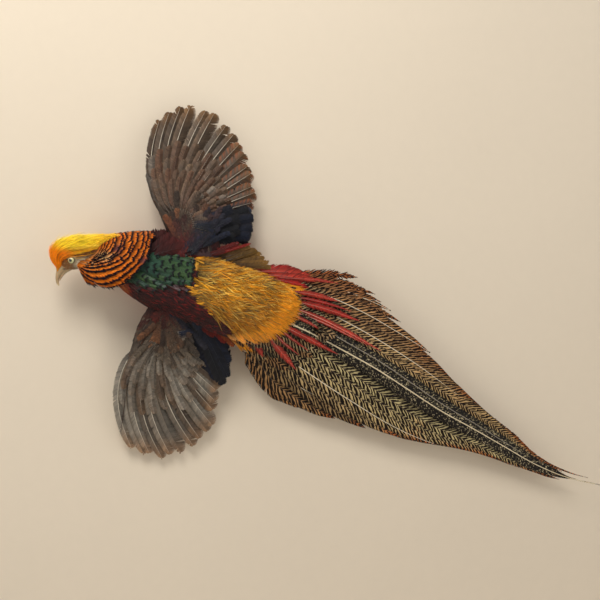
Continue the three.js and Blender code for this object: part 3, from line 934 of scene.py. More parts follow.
def lattice(form, pitch, ends, rng, jitter=0.35):
    surface = formSurface(form)
    fine = np.linspace(ends[0], ends[1], 200)
    line = np.linalg.norm(np.diff(surface(np.full(200, 0.25), fine), axis=0), axis=1)
    line = np.concatenate([[0], np.cumsum(line)])
    rows = max(int(line[-1] / (pitch[0] * mm)), 1)
    turns, alongs = [], []
    for row in range(rows):
        along = np.interp((row + 0.5) / rows * line[-1], line, fine)
        ring = surface(np.linspace(0, 1, 41), np.full(41, along))
        around = np.linalg.norm(np.diff(ring, axis=0), axis=1).sum()
        count = max(int(around / (pitch[1] * mm)), 3)
        turns.append((np.arange(count) + 0.5 * (row % 2) + rng.uniform(-jitter, jitter, count)) / count % 1)
        step = (ends[1] - ends[0]) / rows
        alongs.append(along + rng.uniform(-jitter, jitter, count) * step)
    return np.concatenate(turns), np.clip(np.concatenate(alongs), 0, 1)


# Normals, turned to the side that is given.
def facing(normals, away):
    return normals * np.sign((normals * away).sum(-1, keepdims=True))


def surfaceNormal(surface, turn, along, step=1e-3):
    inside = np.clip(along, step, 1 - step)
    lengthways = surface(turn, inside + step) - surface(turn, inside - step)
    sideways = surface(turn + step, inside) - surface(turn - step, inside)
    away = surface(turn, inside, 1e-3) - surface(turn, inside)
    return facing(unit(np.cross(lengthways, sideways)), away)


# The line that each feather takes: it hugs its form, and more or less of it runs on straight.
def layPaths(surface, turn, along, length, lean, style, stops, step=1e-3, last=0.02):
    inside = np.clip(along, step, 1 - step)
    speed = np.linalg.norm(surface(turn, inside + step) - surface(turn, inside - step), axis=-1) / (2 * step)
    place = along[:, None] + (length / speed)[:, None] * stops
    turns = turn[:, None] + lean[:, None] * stops
    held = np.clip(place, 0, 1)
    end = surface(turns, np.ones_like(held)) - surface(turns, np.full_like(held, 1 - last))
    hugging = surface(turns, held) + end / last * (place - held)[..., None]
    heading = unit(hugging[:, 1] - hugging[:, 0])
    straight = hugging[:, :1] + heading[:, None] * (length[:, None] * stops)[..., None]
    normals = surfaceNormal(surface, turns, held)
    path = hugging + (straight - hugging) * style["stiff"]
    lift = style["rise"] * mm + style["tipRise"] * length[:, None] * stops ** 1.6
    return path + normals * lift[..., None], normals


def leafShape(stops):
    return (0.4 + 0.6 * rampOf(0, 0.35, stops)) * np.sqrt(1 - np.clip((stops - 0.62) / 0.42, 0, 1) ** 2)


def lockShape(stops):
    return (0.55 + 0.45 * rampOf(0, 0.3, stops)) * (1 - np.clip(stops, 0, 1)) ** 0.55


# Rows and feathers stand a pitch apart between two ends of the form. Lengths and widths come from a range.
softCoat = {
    "rows": 6, "rise": -1.6, "tipRise": 0.05, "lean": 0.02, "stiff": 0.3, "vary": 0.16, "rootShade": 0.45,
    "shape": leafShape, "thick": 0.4, "arch": 0.25, "fan": 0, "clumpShading": 0,
}
coats = {
    "face": dict(
        softCoat, pitch=(1.08, 0.95), ends=(0.005, 0.27), length=(2.6, 4.2), width=(0.6, 0.95), rows=4,
        rise=-0.75, tipRise=0.1, lean=0.012, stiff=0.1, rootShade=0.55, shape=lockShape, thick=0.16, arch=0.3,
    ),
    "neck": dict(
        softCoat, pitch=(3.1, 2.8), ends=(0.25, 0.43), length=(8, 12), width=(2.4, 3.6), tipRise=0.04,
        stiff=0.15, vary=0.15, rootShade=0.5, thick=0.3,
    ),
    "breast": dict(
        softCoat, pitch=(5.2, 4.9), ends=(0.36, 0.995), length=(16, 24), width=(5.8, 8.2), rows=7, rise=-3.2,
        lean=0.012, stiff=0.25, vary=0.14, thick=0.5,
    ),
    "shoulder": dict(
        softCoat, pitch=(3.2, 2.6), ends=(0.40, 0.74), length=(13, 20), width=(2.2, 3.6), rise=-2.4,
        vary=0.24, rootShade=0.35,
    ),
    "rump": dict(
        softCoat, pitch=(3.0, 1.8), ends=(0.585, 0.985), length=(25, 40), width=(1.4, 2.8), rows=7, rise=-2.6,
        tipRise=0.08, lean=0.035, fan=0.12, stiff=0.55, vary=0.26, rootShade=0.28, shape=lockShape, arch=0.35,
        clumpShading=0.26,
    ),
    "arm": dict(
        softCoat, pitch=(4.2, 3.8), ends=(0.06, 0.99), length=(12, 19), width=(4.2, 6.6), rows=7, rise=-1.8,
        tipRise=0.08, lean=0.03, stiff=0.25, vary=0.2, rootShade=0.4, arch=0.2,
    ),
    "thigh": dict(
        softCoat, pitch=(2.8, 2.6), ends=(0.05, 0.99), length=(8, 13), width=(2.4, 3.6), thick=0.35,
    ),
}


def scattered(name, key, rng):
    style = coats[key]
    turn, along = lattice(flesh[name], style["pitch"], style["ends"], rng)
    return turn, along, formSurface(flesh[name])(turn, along)


def coatPart(name, key, turn, along, rng, tinting=None, scaling=None):
    style = coats[key]
    count = len(turn)
    stops = np.linspace(0, 1, style["rows"])
    length = rng.uniform(*style["length"], count) * mm
    width = rng.uniform(*style["width"], count) * mm
    if scaling:
        size = scaling(count)
        length = length * size
        width = width * size
    lean = rng.normal(0, style["lean"], count) + style["fan"] * (turn - 0.25)
    path, normals = layPaths(formSurface(flesh[name]), turn, along, length, lean, style, stops)
    middle = path[:, len(stops) // 2]
    base = markings(name, turn, along, middle)
    if tinting:
        base = tinting(base, middle)
    x, z = planeOf(path[:, 0])
    # Each lock's light varies at random and in clumped waves over the coat, and darkens towards its root:
    # painted light and shade.
    clumpShading = np.sin(x / 3.1 + z / 1.9 + 2 * np.sin(z / 7)) + np.sin(x / 8.3 - z / 4.7)
    clumpShading = clumpShading + np.sin(z / 3.3 + 2 * np.sin(x / 11))
    light = rng.normal(1, style["vary"], count) + style["clumpShading"] * clumpShading * 0.6
    light = light[:, None] * (style["rootShade"] + (1 - style["rootShade"]) * stops)
    tints = shaded(alongStops(base, stops), np.clip(light, 0.2, 1.8))
    half = width[:, None] / 2 * style["shape"](stops)
    roots = chartPlace(name, turn, along)
    return lockStrips(path, normals, half, style["thick"], 0.7, tints, roots, stops, style["arch"])


def clearOf(points, others, limit=0.9):
    return np.all([formPlace(flesh[name], points)[2] > limit for name in others], axis=0)


def faceCoat(rng):
    turn, along, points = scattered("body", "face", rng)
    gaps = [np.linalg.norm(points - eyeFrame(side)[0], axis=1) for side in (1, -1)]
    keep = np.min(gaps, axis=0) > eye["bareRing"] * mm

    def streaked(base, middle):
        base = mixTone(base, "cdb384", 0.6 * (rng.random(len(base)) < 0.12))
        return mixTone(base, "2a160c", 0.7 * ((middle[:, 0] > -198 * mm) & (rng.random(len(base)) < 0.25)))

    return coatPart("body", "face", turn[keep], along[keep], rng, streaked)


def neckCoat(rng):
    turn, along, _ = scattered("body", "neck", rng)
    return coatPart("body", "neck", turn, along, rng)


plateRoom = {"off": 4.5, "x": 42, "z": 28}        # no feathers grow here, where the plate hangs
limbs = ("armRight", "armLeft", "thighLeft", "thighRight")


def breastCoat(rng):
    turn, along, points = scattered("body", "breast", rng)
    x, z = planeOf(points)
    overPlate = (np.abs(x) < plateRoom["x"]) & (np.abs(z) < plateRoom["z"])
    overPlate &= points[:, 1] > -plateRoom["off"] * mm
    keep = (backOf(turn) < 0.25) & clearOf(points, limbs) & ~overPlate
    return coatPart("body", "breast", turn[keep], along[keep], rng)


def shoulderCoat(rng):
    turn, along, points = scattered("body", "shoulder", rng)
    keep = (backOf(turn) > -0.15) & ~within(points, mantleOutline) & ~within(points, rumpOutline)
    keep &= clearOf(points, ("armRight", "armLeft"), 0.8)

    def blended(base, middle):
        roll = rng.random(len(base))
        return painted(base, ("scarlet", 0.6 * (roll < 0.18)), ("241410", 0.7 * (roll > 0.85)))

    return coatPart("body", "shoulder", turn[keep], along[keep], rng, blended)


def rumpCoat(rng):
    style = coats["rump"]
    turn, along, points = scattered("body", "rump", rng)
    keep = (backOf(turn) > -0.12) & within(points, rumpOutline)
    turn, along = turn[keep], along[keep]
    full = np.full(len(turn), style["length"][1] * mm)
    stops = np.linspace(0, 1, 11)
    path = layPaths(formSurface(body), turn, along, full, style["fan"] * (turn - 0.25), style, stops)[0]
    share = within(path, rumpOutline).cumprod(1).sum(1) / len(stops)

    def golden(base, middle):
        roll = rng.random(len(base))
        patch = near(middle, -6, -2, 8, 7) + near(middle, 52, 30, 9, 7) + near(middle, -30, 52, 8, 6)
        patch += near(middle, 34, -34, 12, 10) + near(middle, 20, -8, 9, 6)
        low = 1 - rampOf(-34, -8, tailPlaneOf(*planeOf(middle))[1])
        return painted(
            base,
            ("lemon", 0.6 * (roll < 0.3)),
            ("amber", 0.5 * ((roll > 0.3) & (roll < 0.48))),
            ("7c4c16", low * rng.uniform(0.1, 0.8, len(base))),
            ("a05a12", (roll > 0.6) * (roll < 0.8) * 0.7),
            ("c06c10", near(middle, 45, -2, 42, 26) * rng.uniform(0.1, 0.7, len(base))),
            ("olive", 0.85 * ((roll > 0.92) | ((roll > 0.55) & (patch > 0.5)))),
        )

    def shorter(count):
        return np.clip(share + rng.uniform(0.0, 0.22, count), 0.3, 1)

    return coatPart("body", "rump", turn, along, rng, golden, shorter)


# Long golden locks at the rump's far edge, which hang over the root of the tail.
rumpFringe = {
    "count": 900, "back": (8, 26), "length": (20, 32), "width": (1.4, 2.8), "fan": 0.2, "asides": (-62, 43),
    "thick": 0.35, "arch": 0.35,
}


def fringePart(rng):
    count = rumpFringe["count"]
    aside = rng.uniform(*rumpFringe["asides"], count)[:, None]
    start = np.interp(aside, *tailCoverts["edge"]) - rng.uniform(*rumpFringe["back"], count)[:, None]
    stops = np.linspace(0, 1, 8)
    length = rng.uniform(*rumpFringe["length"], count)[:, None]
    spread = aside + (aside - 2) * rumpFringe["fan"] * stops * length / 30
    spread = spread + rng.normal(0, 1.6, (count, 1)) * stops
    points = overBody(tailPoint(start + length * stops, spread, 6.0), -1.6 + 3.0 * stops[None], 3)
    roll = rng.random((count, 1))
    base = painted(evenTone("amber", count), ("gold", roll[:, 0] * 0.9), ("olive", (roll[:, 0] > 0.93) * 0.6))
    light = rng.normal(1, 0.2, (count, 1)) * (0.4 + 0.6 * rampOf(0, 0.6, stops))
    tints = shaded(alongStops(base, stops), np.clip(light, 0.2, 1.7))
    half = rng.uniform(*rumpFringe["width"], count)[:, None] / 2 * mm * lockShape(stops)
    roots = bodyChart(points[:, 0])
    up = wallSpines(points)["up"]
    return lockStrips(points, up, half, rumpFringe["thick"], 0.7, tints, roots, stops, rumpFringe["arch"])


def limbCoat(name, key, rng):
    turn, along, points = scattered(name, key, rng)
    keep = clearOf(points, ("body",), 0.97)

    def flecked(base, middle):
        pale = rng.random(len(base))
        return painted(base, ("6f6252", 0.5 * (pale < 0.15)), ("57301c", 0.6 * (pale > 0.9)))

    return coatPart(name, key, turn[keep], along[keep], rng, flecked if key == "arm" else None)


def addCoats():
    rng = np.random.default_rng(11)
    plain = coatMaterial("bodyPlumage", 0.62, lines=9.0, contrast=0.35, amount=0.3)
    hairy = coatMaterial("rumpSilk", 0.5, lines=4.0, contrast=0.15, amount=0.35)
    coatsOfBody = {
        "face": (faceCoat, plain), "neck": (neckCoat, plain), "breast": (breastCoat, plain),
        "shoulder": (shoulderCoat, plain), "rump": (rumpCoat, hairy), "rump_fringe": (fringePart, hairy),
    }
    for name, (coat, material) in coatsOfBody.items():
        addPiece(f"{name}_feathers", [coat(rng)], [material])
    for side in ("right", "left"):
        part = limbCoat(f"arm{side.title()}", "arm", rng)
        addPiece(f"wing_arm_feathers_{side}", [part], [plain])
    for side in ("left", "right"):
        part = limbCoat(f"thigh{side.title()}", "thigh", rng)
        addPiece(f"thigh_feathers_{side}", [part], [plain])


# Large feathers. Each has a shaft along a spine, and a web of barbs to each side that may part and fray.

def spineFrame(spines, normals):
    forward = unit(np.gradient(spines, axis=1))
    side = unit(np.cross(normals, forward))
    return {"line": spines, "side": side, "up": np.cross(forward, side)}


def wallSpines(points):
    return spineFrame(points, np.broadcast_to(outward, points.shape))


def onSpine(spine, owner, at, aside, rise):
    last = spine["line"].shape[1] - 1
    place = at * last
    start = np.clip(place.astype(int), 0, last - 1)
    rest = (place - start)[..., None]
    held = np.clip(rest, 0, 1)
    own = owner.reshape(owner.shape + (1,) * (at.ndim - owner.ndim))
    line, side, up = spine["line"], spine["side"], spine["up"]
    centre = line[own, start] + (line[own, start + 1] - line[own, start]) * rest
    sideways = side[own, start] * (1 - held) + side[own, start + 1] * held
    upward = up[own, start] * (1 - held) + up[own, start + 1] * held
    return centre + sideways * aside[..., None] + upward * rise[..., None], upward


def wavering(phase, s):
    return 0.6 * np.sin(23.0 * s + phase) + 0.4 * np.sin(57.0 * s + 2.3 * phase)


barbs = {"leastWidth": 0.35, "partingFade": 6, "camberOver": 20, "narrowing": 0.45, "thinning": 0.6}


# Plus and minus are the half widths of the two webs, and a limit may hold them narrower.
def barbPart(spine, style, plus, minus, rng, tinting, charting, limit=None):
    lengths = np.linalg.norm(np.diff(spine["line"], axis=1), axis=2).sum(1)
    count = len(lengths)
    bare = style["bare"]
    numbers = np.maximum(((1 - bare) * lengths / (style["pitch"] * mm)).astype(int), 5)
    owner = np.repeat(np.arange(count), numbers)
    order = np.arange(numbers.sum()) - np.repeat(np.cumsum(numbers) - numbers, numbers)
    owner = np.tile(owner, 2)
    order = np.tile(order, 2)
    sign = np.repeat([1, -1], len(owner) // 2)
    web = (owner, (sign + 1) // 2)
    share = (order + 0.5) / numbers[owner]
    s = bare + (1 - bare) * share
    width = np.where(sign > 0, plus[owner], minus[owner]) * style["outline"](share)
    if limit:
        width = np.minimum(width, limit(owner, s, sign))
    phase = rng.uniform(0, 6.28, (count, 2))[web]
    width = width * (1 + style["fray"] * (wavering(phase, s * 3) + rng.normal(0, 0.6, len(s))))
    width = np.maximum(width, barbs["leastWidth"] * mm)
    parting = np.zeros(len(s))
    for _ in range(style["splits"]):
        place = rng.uniform(0.25, 1.0, (count, 2))[web]
        size = rng.uniform(0.2, 1.0, (count, 2))[web] * style["gape"] * mm
        gap = s - place
        parting += size * np.sign(gap) * np.exp(-np.abs(gap) * lengths[owner] / (barbs["partingFade"] * mm))
    stops = np.array(style["stops"])
    lateral = sign[:, None] * width[:, None] * stops
    slant = style["slant"] * (1 + 0.12 * wavering(phase, s))
    ahead = (slant * width)[:, None] * stops ** style["sweep"] + parting[:, None] * stops ** 1.5
    at = s[:, None] + ahead / lengths[owner][:, None]
    lift = style["tilt"] * lateral - style["camber"] * lateral ** 2 / (barbs["camberOver"] * mm)
    lift += (rng.normal(0, style["ruffle"], len(s)) * mm)[:, None] * stops
    path, normals = onSpine(spine, owner, at, lateral, lift)
    spacing = (1 - bare) * lengths[owner] / numbers[owner]
    half = 0.5 * spacing * style["cover"] / np.sqrt(1 + slant ** 2)
    halfWidth = half[:, None] * (1 - barbs["narrowing"] * stops ** 3)
    thick = style["thick"] * mm * (1 - barbs["thinning"] * stops) + np.zeros((len(s), 1))
    section = np.array([-1.0, 0.0, 1.0]) * sign[:, None]
    vane = np.zeros(path.shape[:2] + (3, 2))
    run = s * lengths[owner]
    run = run - style["warp"] * run ** 2 / 2
    vane[..., 0] = (run + owner * 0.7137)[:, None, None] + section[:, None] * half[:, None, None]
    vane[..., 1] = (np.abs(lateral) + (sign > 0)[:, None] * 0.31)[..., None]
    chart = charting(owner, order, numbers[owner], sign, stops)
    tints = tinting(owner, s, sign, stops, rng)
    return strips(path, normals, halfWidth, thick, tints, chart, vane, style["arch"])


# Each feather has its own cell on the chart, with a slot for each barb. The shafts have their own column.
def cellCharting(cells, first=0):
    def charting(owner, order, numbers, sign, stops):
        chart = np.zeros((len(owner), len(stops), 3, 2))
        across = (owner[:, None] + first + 0.5 + sign[:, None] * (0.02 + 0.44 * stops)) / cells
        chart[..., 0] = 0.01 + 0.93 * across[..., None]
        section = np.array([0.05, 0.5, 0.95])
        chart[..., 1] = 0.01 + 0.98 * ((order[:, None, None] + section) / numbers[:, None, None])
        return chart
    return charting


# Small feathers of the body share its chart: each barb is a patch near the feather's root.
def patchCharting(roots):
    def charting(owner, order, numbers, sign, stops):
        place = roots[owner] + np.stack([sign * 0.0012, (order / numbers - 0.5) * 0.0022], -1)
        return patchChart(place, len(stops))
    return charting


def shaftPart(spine, style, radii, tints):
    count = len(tints)
    stops = np.linspace(0.0, style["shaftEnd"], style["shaftRings"])
    at = np.repeat(stops[None], count, 0)
    centre, up = onSpine(spine, np.arange(count), at, np.zeros_like(at), np.zeros_like(at))
    side = unit(np.cross(up, unit(np.gradient(centre, axis=1))))
    angle = 2 * np.pi * np.arange(5) / 5 + np.pi / 2
    size = np.broadcast_to(radii, (count,))[:, None] * (1 - style["taper"] * stops ** 1.2)
    spread = side[:, :, None] * np.cos(angle)[:, None] + up[:, :, None] * np.sin(angle)[:, None]
    rings = centre[:, :, None] + spread * size[..., None, None]
    box = np.zeros((count, 4))
    box[:, 0] = 0.95 + 0.04 * np.arange(count) / count
    box[:, 1] = 0.01
    box[:, 2] = 0.036 / count
    box[:, 3] = 0.98
    part = ringTubes(rings, box, alongStops(tints, stops))
    part["finish"] = 1
    return part


def featherParts(spine, style, web, rng, tinting, radii, pins):
    return [
        barbPart(spine, style, web, web, rng, tinting, cellCharting(len(pins))),
        shaftPart(spine, style, radii, pins),
    ]


# Outlines: half width along a feather, from its root to its tip, as a share of the widest.

def bladeOutline(share):
    tip = np.sqrt(np.clip(1 - np.clip((share - 0.8) / 0.2, 0, 1) ** 2, 0, 1))
    return (0.3 + 0.7 * rampOf(0, 0.2, share)) * tip


def taperedOutline(root, growth, grown, start, span, power):
    def outline(share):
        taper = 1 - np.clip((share - start) / span, 0, 1) ** power
        return (root + growth * rampOf(0, grown, share)) * taper
    return outline


remex = {
    "bare": 0.12, "pitch": 1.45, "slant": 0.75, "sweep": 1.25, "cover": 1.35, "tilt": 0.12, "camber": 0.9,
    "ruffle": 0.12, "thick": 0.3, "arch": 0.15, "fray": 0.03, "splits": 3, "gape": 2.2, "warp": 0,
    "stops": (0, 0.32, 0.66, 0.94, 1), "outline": bladeOutline,
    "shaftRings": 14, "shaftEnd": 0.985, "taper": 0.8,
}
covert = dict(
    remex, bare=0.08, pitch=1.8, slant=0.6, tilt=0.1, camber=1.4, ruffle=0.2, splits=2, gape=1.2,
    shaftRings=7,
)


# The wings. Feathers fan about a joint, from the leading edge (0) to the innermost (1).

# The grey sheen of each wing is painted into its feathers' colour, as a share of grey.
wings = {
    "right": {
        "arm": "armRight", "x": -61, "z": 131, "rootOff": 58, "tipOff": 20,
        "lead": 96, "sweep": -122, "bend": 48, "leadSign": 1,
        "navyFrom": 0.72, "greySheen": 0.25, "tipTone": "70502f",
        "parts": (0, 0.4, 0.75, 1), "feathers": (8, 7, 4),
        "reach": (143, 170, 176, 164, 151, 136, 124, 117, 114, 108),
    },
    "left": {
        "arm": "armLeft", "x": -100, "z": -28, "rootOff": 56, "tipOff": 14,
        "lead": 247, "sweep": 122, "bend": -66, "leadSign": -1,
        "navyFrom": 0.53, "greySheen": 1.0, "tipTone": "8c6b4c",
        "parts": (0, 0.34, 0.48, 1), "feathers": (9, 4, 7),
        "reach": (187, 204, 197, 176, 130, 122, 110, 97, 82, 70),
    },
}
wingRoot = 18
# Flight feathers: piece, node, slot, share of pale shafts, leading and trailing half width, shaft's radius.
flights = (
    ("primary", "primaries", "wing_feather", 0.85, (7.5, 15, 0.95)),
    ("secondary", "secondaries", "wing_feather", 0.85, (9.5, 15, 0.8)),
    ("tertial", "tertials", "tertial_feather", 0.1, (11, 15, 0.6)),
)
# Rows of coverts: start and end as shares of the reach, rise, how many, share of pale shafts, widths.
covertRows = {
    "greater": (0.1, 0.62, 2.3, 22, 0.3, (6.0, 8.0, 0.4)),
    "median": (0.06, 0.49, 4.0, 21, 0.12, (5.5, 6.5, 0.35)),
    "lesser": (0.02, 0.38, 5.4, 19, 0, (5.0, 6.0, 0.3)),
    "marginal": (0.0, 0.28, 6.8, 16, 0, (4.5, 5.5, 0.3)),
    "under_greater": (0.12, 0.50, -3.2, 14, 0.3, (6.5, 8.5, 0.35)),
    "under_median": (0.08, 0.34, -4.8, 13, 0.3, (5.5, 7.0, 0.3)),
}
addTones(
    wingBase="4e3e30", wingGrey="7e7669", wingRufous="8a4a22", wingEdge="94795a", wingDark="2b231d",
    wingBlue="10182a", wingBlack="0f0f12", wingBrown="3a2a1e", wingWarm="543524",
    palePin="cdc0aa", darkPin="6f604e",
)


def wingPoint(wing, q, share, stretch):
    tip = smoothLine(wing["reach"], np.clip(q, 0, 1)) * stretch
    radius = wingRoot + (tip - wingRoot) * share
    curl = wing["bend"] * np.clip(1 - q, 0, 1) ** 3 * np.clip(1 - radius / tip, 0, 1) ** 1.15
    angle = np.radians(wing["lead"] + wing["sweep"] * q + curl)
    fall = np.clip(radius / max(wing["reach"]), 0, 2) ** 1.25
    off = wing["rootOff"] + (wing["tipOff"] - wing["rootOff"]) * fall
    return np.stack([wing["x"] + radius * np.cos(angle), -off, wing["z"] + radius * np.sin(angle)], -1) * mm


def wingSpines(wing, q, start, end, rise, rng):
    share = start + (end - start) * np.linspace(0, 1, 24)[None]
    q = q[:, None]
    turned = q + rng.normal(0, 0.005, q.shape) * share
    uneven = 1 + 2.5 * rampOf(0.12, 0.3, q) if rise else 1
    stretch = 1 + rng.uniform(-0.035, 0.02, q.shape) * uneven
    points = wingPoint(wing, turned, share + np.zeros(q.shape), stretch)
    lifted = points + wallSpines(points)["up"] * rise * mm
    if rise > 0:
        front = frontOf(flesh[wing["arm"]], *planeOf(lifted))
        lifted[..., 1] = -drapedOver(-lifted[..., 1] / mm, front, 0.3 * rise) * mm
    return wallSpines(lifted)


def remexTinting(kind, wing, q):
    small = kind == "covert"
    navy = rampOf(0.8, 0.88, q) if small else rampOf(wing["navyFrom"] - 0.03, wing["navyFrom"] + 0.04, q)

    def tinting(owner, s, sign, stops, rng):
        def each(low, high):
            return rng.uniform(low, high, len(q))[owner]

        # A random share of grey on each feather, up to the wing's grey sheen: painted sheen.
        colours = painted(
            evenTone("wingBase", len(s)),
            ("wingGrey", each(0, 1) * wing["greySheen"]),
            ("wingDark", 1 - rampOf(0.1, 0.5, s)),
            (wing["tipTone"], rampOf(0.78, 1.0, s) * (0.2 if small else 0.85)),
        )
        if small:
            colours = mixTone(colours, "wingWarm", each(0.0, 0.8) * (1.2 - wing["greySheen"]))
            # Grey towards the tips of some coverts, with more of them on the wing that has more grey sheen:
            # painted sheen.
            worn = (rng.random(len(q)) < 0.3 * wing["greySheen"])[owner] * rampOf(0.3, 0.8, s)
            colours = mixTone(colours, "7f786c", worn * 0.5)
        dark = navy[owner]
        colours = painted(colours, ("wingBrown", dark * 0.8), ("wingBlack", dark))
        colours = mixTone(colours, "wingBlue", dark * each(0.1, 0.9))
        edge = (stops[None] ** 4) * each(0, 1)[:, None] * (1 - 0.9 * dark)[:, None]
        base = mixTone(alongStops(colours, stops), "wingEdge", edge * 0.45)
        if kind == "inner":
            patch = rampOf(0.35, 0.6, 0.5 + 0.5 * wavering(owner * 1.7, s * 4))[:, None] * stops ** 1.2
            base = mixTone(base, "wingRufous", patch)
        light = 1 + 0.18 * wavering(owner * 2.7 + sign, s * 2)[:, None] + rng.normal(0, 0.1, len(s))[:, None]
        # The trailing web is darker towards the shaft: painted shade between the feathers.
        side = 1 - 0.4 * (sign * wing["leadSign"] < 0)[:, None] * (1 - stops)
        return shaded(base, np.clip(light * side * rng.normal(1.04, 0.15, len(q))[owner][:, None], 0.25, 1.6))
    return tinting


def wingParts(wing, q, start, end, rise, style, widths, kind, pale, rng):
    spine = wingSpines(wing, q, start, end, rise, rng)
    lead, trail, radii = (np.full(len(q), width * mm) for width in widths)
    webs = (lead, trail)[::wing["leadSign"]]
    turned = dict(style, tilt=style["tilt"] * wing["leadSign"])
    vanes = barbPart(spine, turned, *webs, rng, remexTinting(kind, wing, q), cellCharting(len(q)))
    pins = np.where((rng.random(len(q)) < pale)[:, None], tone("palePin"), tone("darkPin"))
    return [vanes, shaftPart(spine, turned, radii, pins)]


def centresOf(start, end, count):
    return start + (end - start) * (np.arange(count) + 0.5) / count


def addWings():
    rng = np.random.default_rng(23)
    finishes = [coatMaterial("flightVane", 0.58, lines=0.0, contrast=0.0, amount=0.22), pinMaterial()]
    for side, wing in wings.items():
        spans = zip(wing["parts"], wing["parts"][1:], wing["feathers"])
        for (first, last, count), (name, node, slotName, pale, widths) in zip(spans, flights):
            q = centresOf(first, last, count)
            kind = "inner" if (name, side) == ("secondary", "right") else "plain"
            parts = wingParts(wing, q, 0.0, 0.985, 0.0, remex, widths, kind, pale, rng)
            addPiece(f"{name}_feathers_{side}", parts, finishes, (f"{node}_{side}",))
        for name, (start, end, rise, count, pale, widths) in covertRows.items():
            q = centresOf(0.02, 0.99, count)
            parts = wingParts(wing, q, start, end, rise, covert, widths, "covert", pale, rng)
            addPiece(f"{name}_coverts_{side}", parts, finishes)


# The tail: graded feathers to each side, a long middle pair, and scarlet plumes over its root.

tail = {
    "x": 60, "z": -20, "slope": 35, "length": 646, "rootOff": 66, "tipOff": 26, "vault": 15, "flatten": 0.6,
    "start": -8, "drift": (6, 8, 7, 5, -1, -7, -9, -12, -15, -11, 3),
    "right": (70, 86, 84, 73, 64, 50, 34, 23, 9, 5, 3),
    "left": (84, 120, 120, 109, 90, 67, 45, 28, 17, 9, 5),
}
# Feathers to each side, outermost first: tip distance, share of the outline's width at root and tip, outer
# and inner half width, frayed or not, pale shaft or not.
tailFeathers = {
    "right": [
        (624, 0.12, 1.5, 7, 7, 1, 0), (101, 0.88, 1.2, 8, 9, 1, 0), (124, 0.76, 1.0, 7, 9, 1, 0),
        (138, 0.84, 1.14, 7, 9, 1, 0), (152, 0.8, 1.1, 7, 9, 1, 0), (172, 0.74, 1.1, 8, 10, 1, 1),
        (196, 0.7, 1.07, 8, 11, 1, 0), (222, 0.62, 0.97, 10, 13, 0, 0), (262, 0.60, 1.0, 11, 14, 0, 1),
        (320, 0.50, 0.93, 12, 15, 0, 0), (385, 0.41, 0.93, 12, 15, 0, 0), (487, 0.36, 0.95, 12, 15, 0, 1),
        (520, 0.26, 0.94, 12, 15, 0, 0), (570, 0.16, 0.94, 12, 14, 0, 0),
    ],
    "left": [
        (128, 0.91, 0.95, 12, 15, 0, 0), (180, 0.81, 0.95, 12, 15, 0, 0), (500, 0.70, 1.0, 12, 15, 0, 1),
        (232, 0.64, 0.95, 12, 15, 0, 0), (290, 0.54, 0.95, 12, 15, 0, 0), (350, 0.44, 0.95, 12, 15, 0, 1),
        (410, 0.35, 0.95, 12, 15, 0, 0), (470, 0.26, 0.95, 12, 15, 0, 0), (575, 0.17, 0.95, 12, 14, 0, 0),
    ],
}
# Tones of the ground at the outer and inner feathers, the tone of its depths, and where outer edges are worn.
tailGrounds = {
    "right": ("b05c2a", "b68f5e", "6b4428", ((462, 26), (250, 22), (336, 12))),
    "left": ("a07244", "c2ab78", "5c4228", ((405, 30), (500, 26), (300, 14))),
}
rectrix = dict(
    remex, bare=0.03, pitch=2.25, slant=1.5, sweep=0.85, tilt=0.0, camber=0.5, gape=1.8, fray=0.01, cover=1.7,
    warp=-0.9, taper=0.5, shaftRings=40, outline=taperedOutline(0.9, 0.1, 0.05, 0.55, 0.45, 1.7),
)
frayedRectrix = dict(
    rectrix, slant=2.2, fray=0.12, splits=5, gape=3.5, cover=1.5, pitch=2.3,
    outline=taperedOutline(0.45, 0.55, 0.2, 0.4, 0.6, 1.3),
)


def tailPoint(distance, aside, rise):
    slope = np.radians(-tail["slope"])
    t = np.clip(distance / tail["length"], 0, 1.02)
    off = tail["rootOff"] + (tail["tipOff"] - tail["rootOff"]) * t ** tail["flatten"]
    arch = tail["vault"] * (1 - 0.7 * t) * (aside / 90) ** 2
    across = aside + smoothLine(tail["drift"], t)
    return np.stack([
        tail["x"] + distance * np.cos(slope) - across * np.sin(slope),
        -(off - arch + rise),
        tail["z"] + distance * np.sin(slope) + across * np.cos(slope),
    ], -1) * mm


# Distance along the tail and aside from its middle, for places of the wall plane.
def tailPlaneOf(x, z):
    slope = np.radians(-tail["slope"])
    distance = (x - tail["x"]) * np.cos(slope) + (z - tail["z"]) * np.sin(slope)
    across = -(x - tail["x"]) * np.sin(slope) + (z - tail["z"]) * np.cos(slope)
    return distance, across - smoothLine(tail["drift"], np.clip(distance / tail["length"], 0, 1))


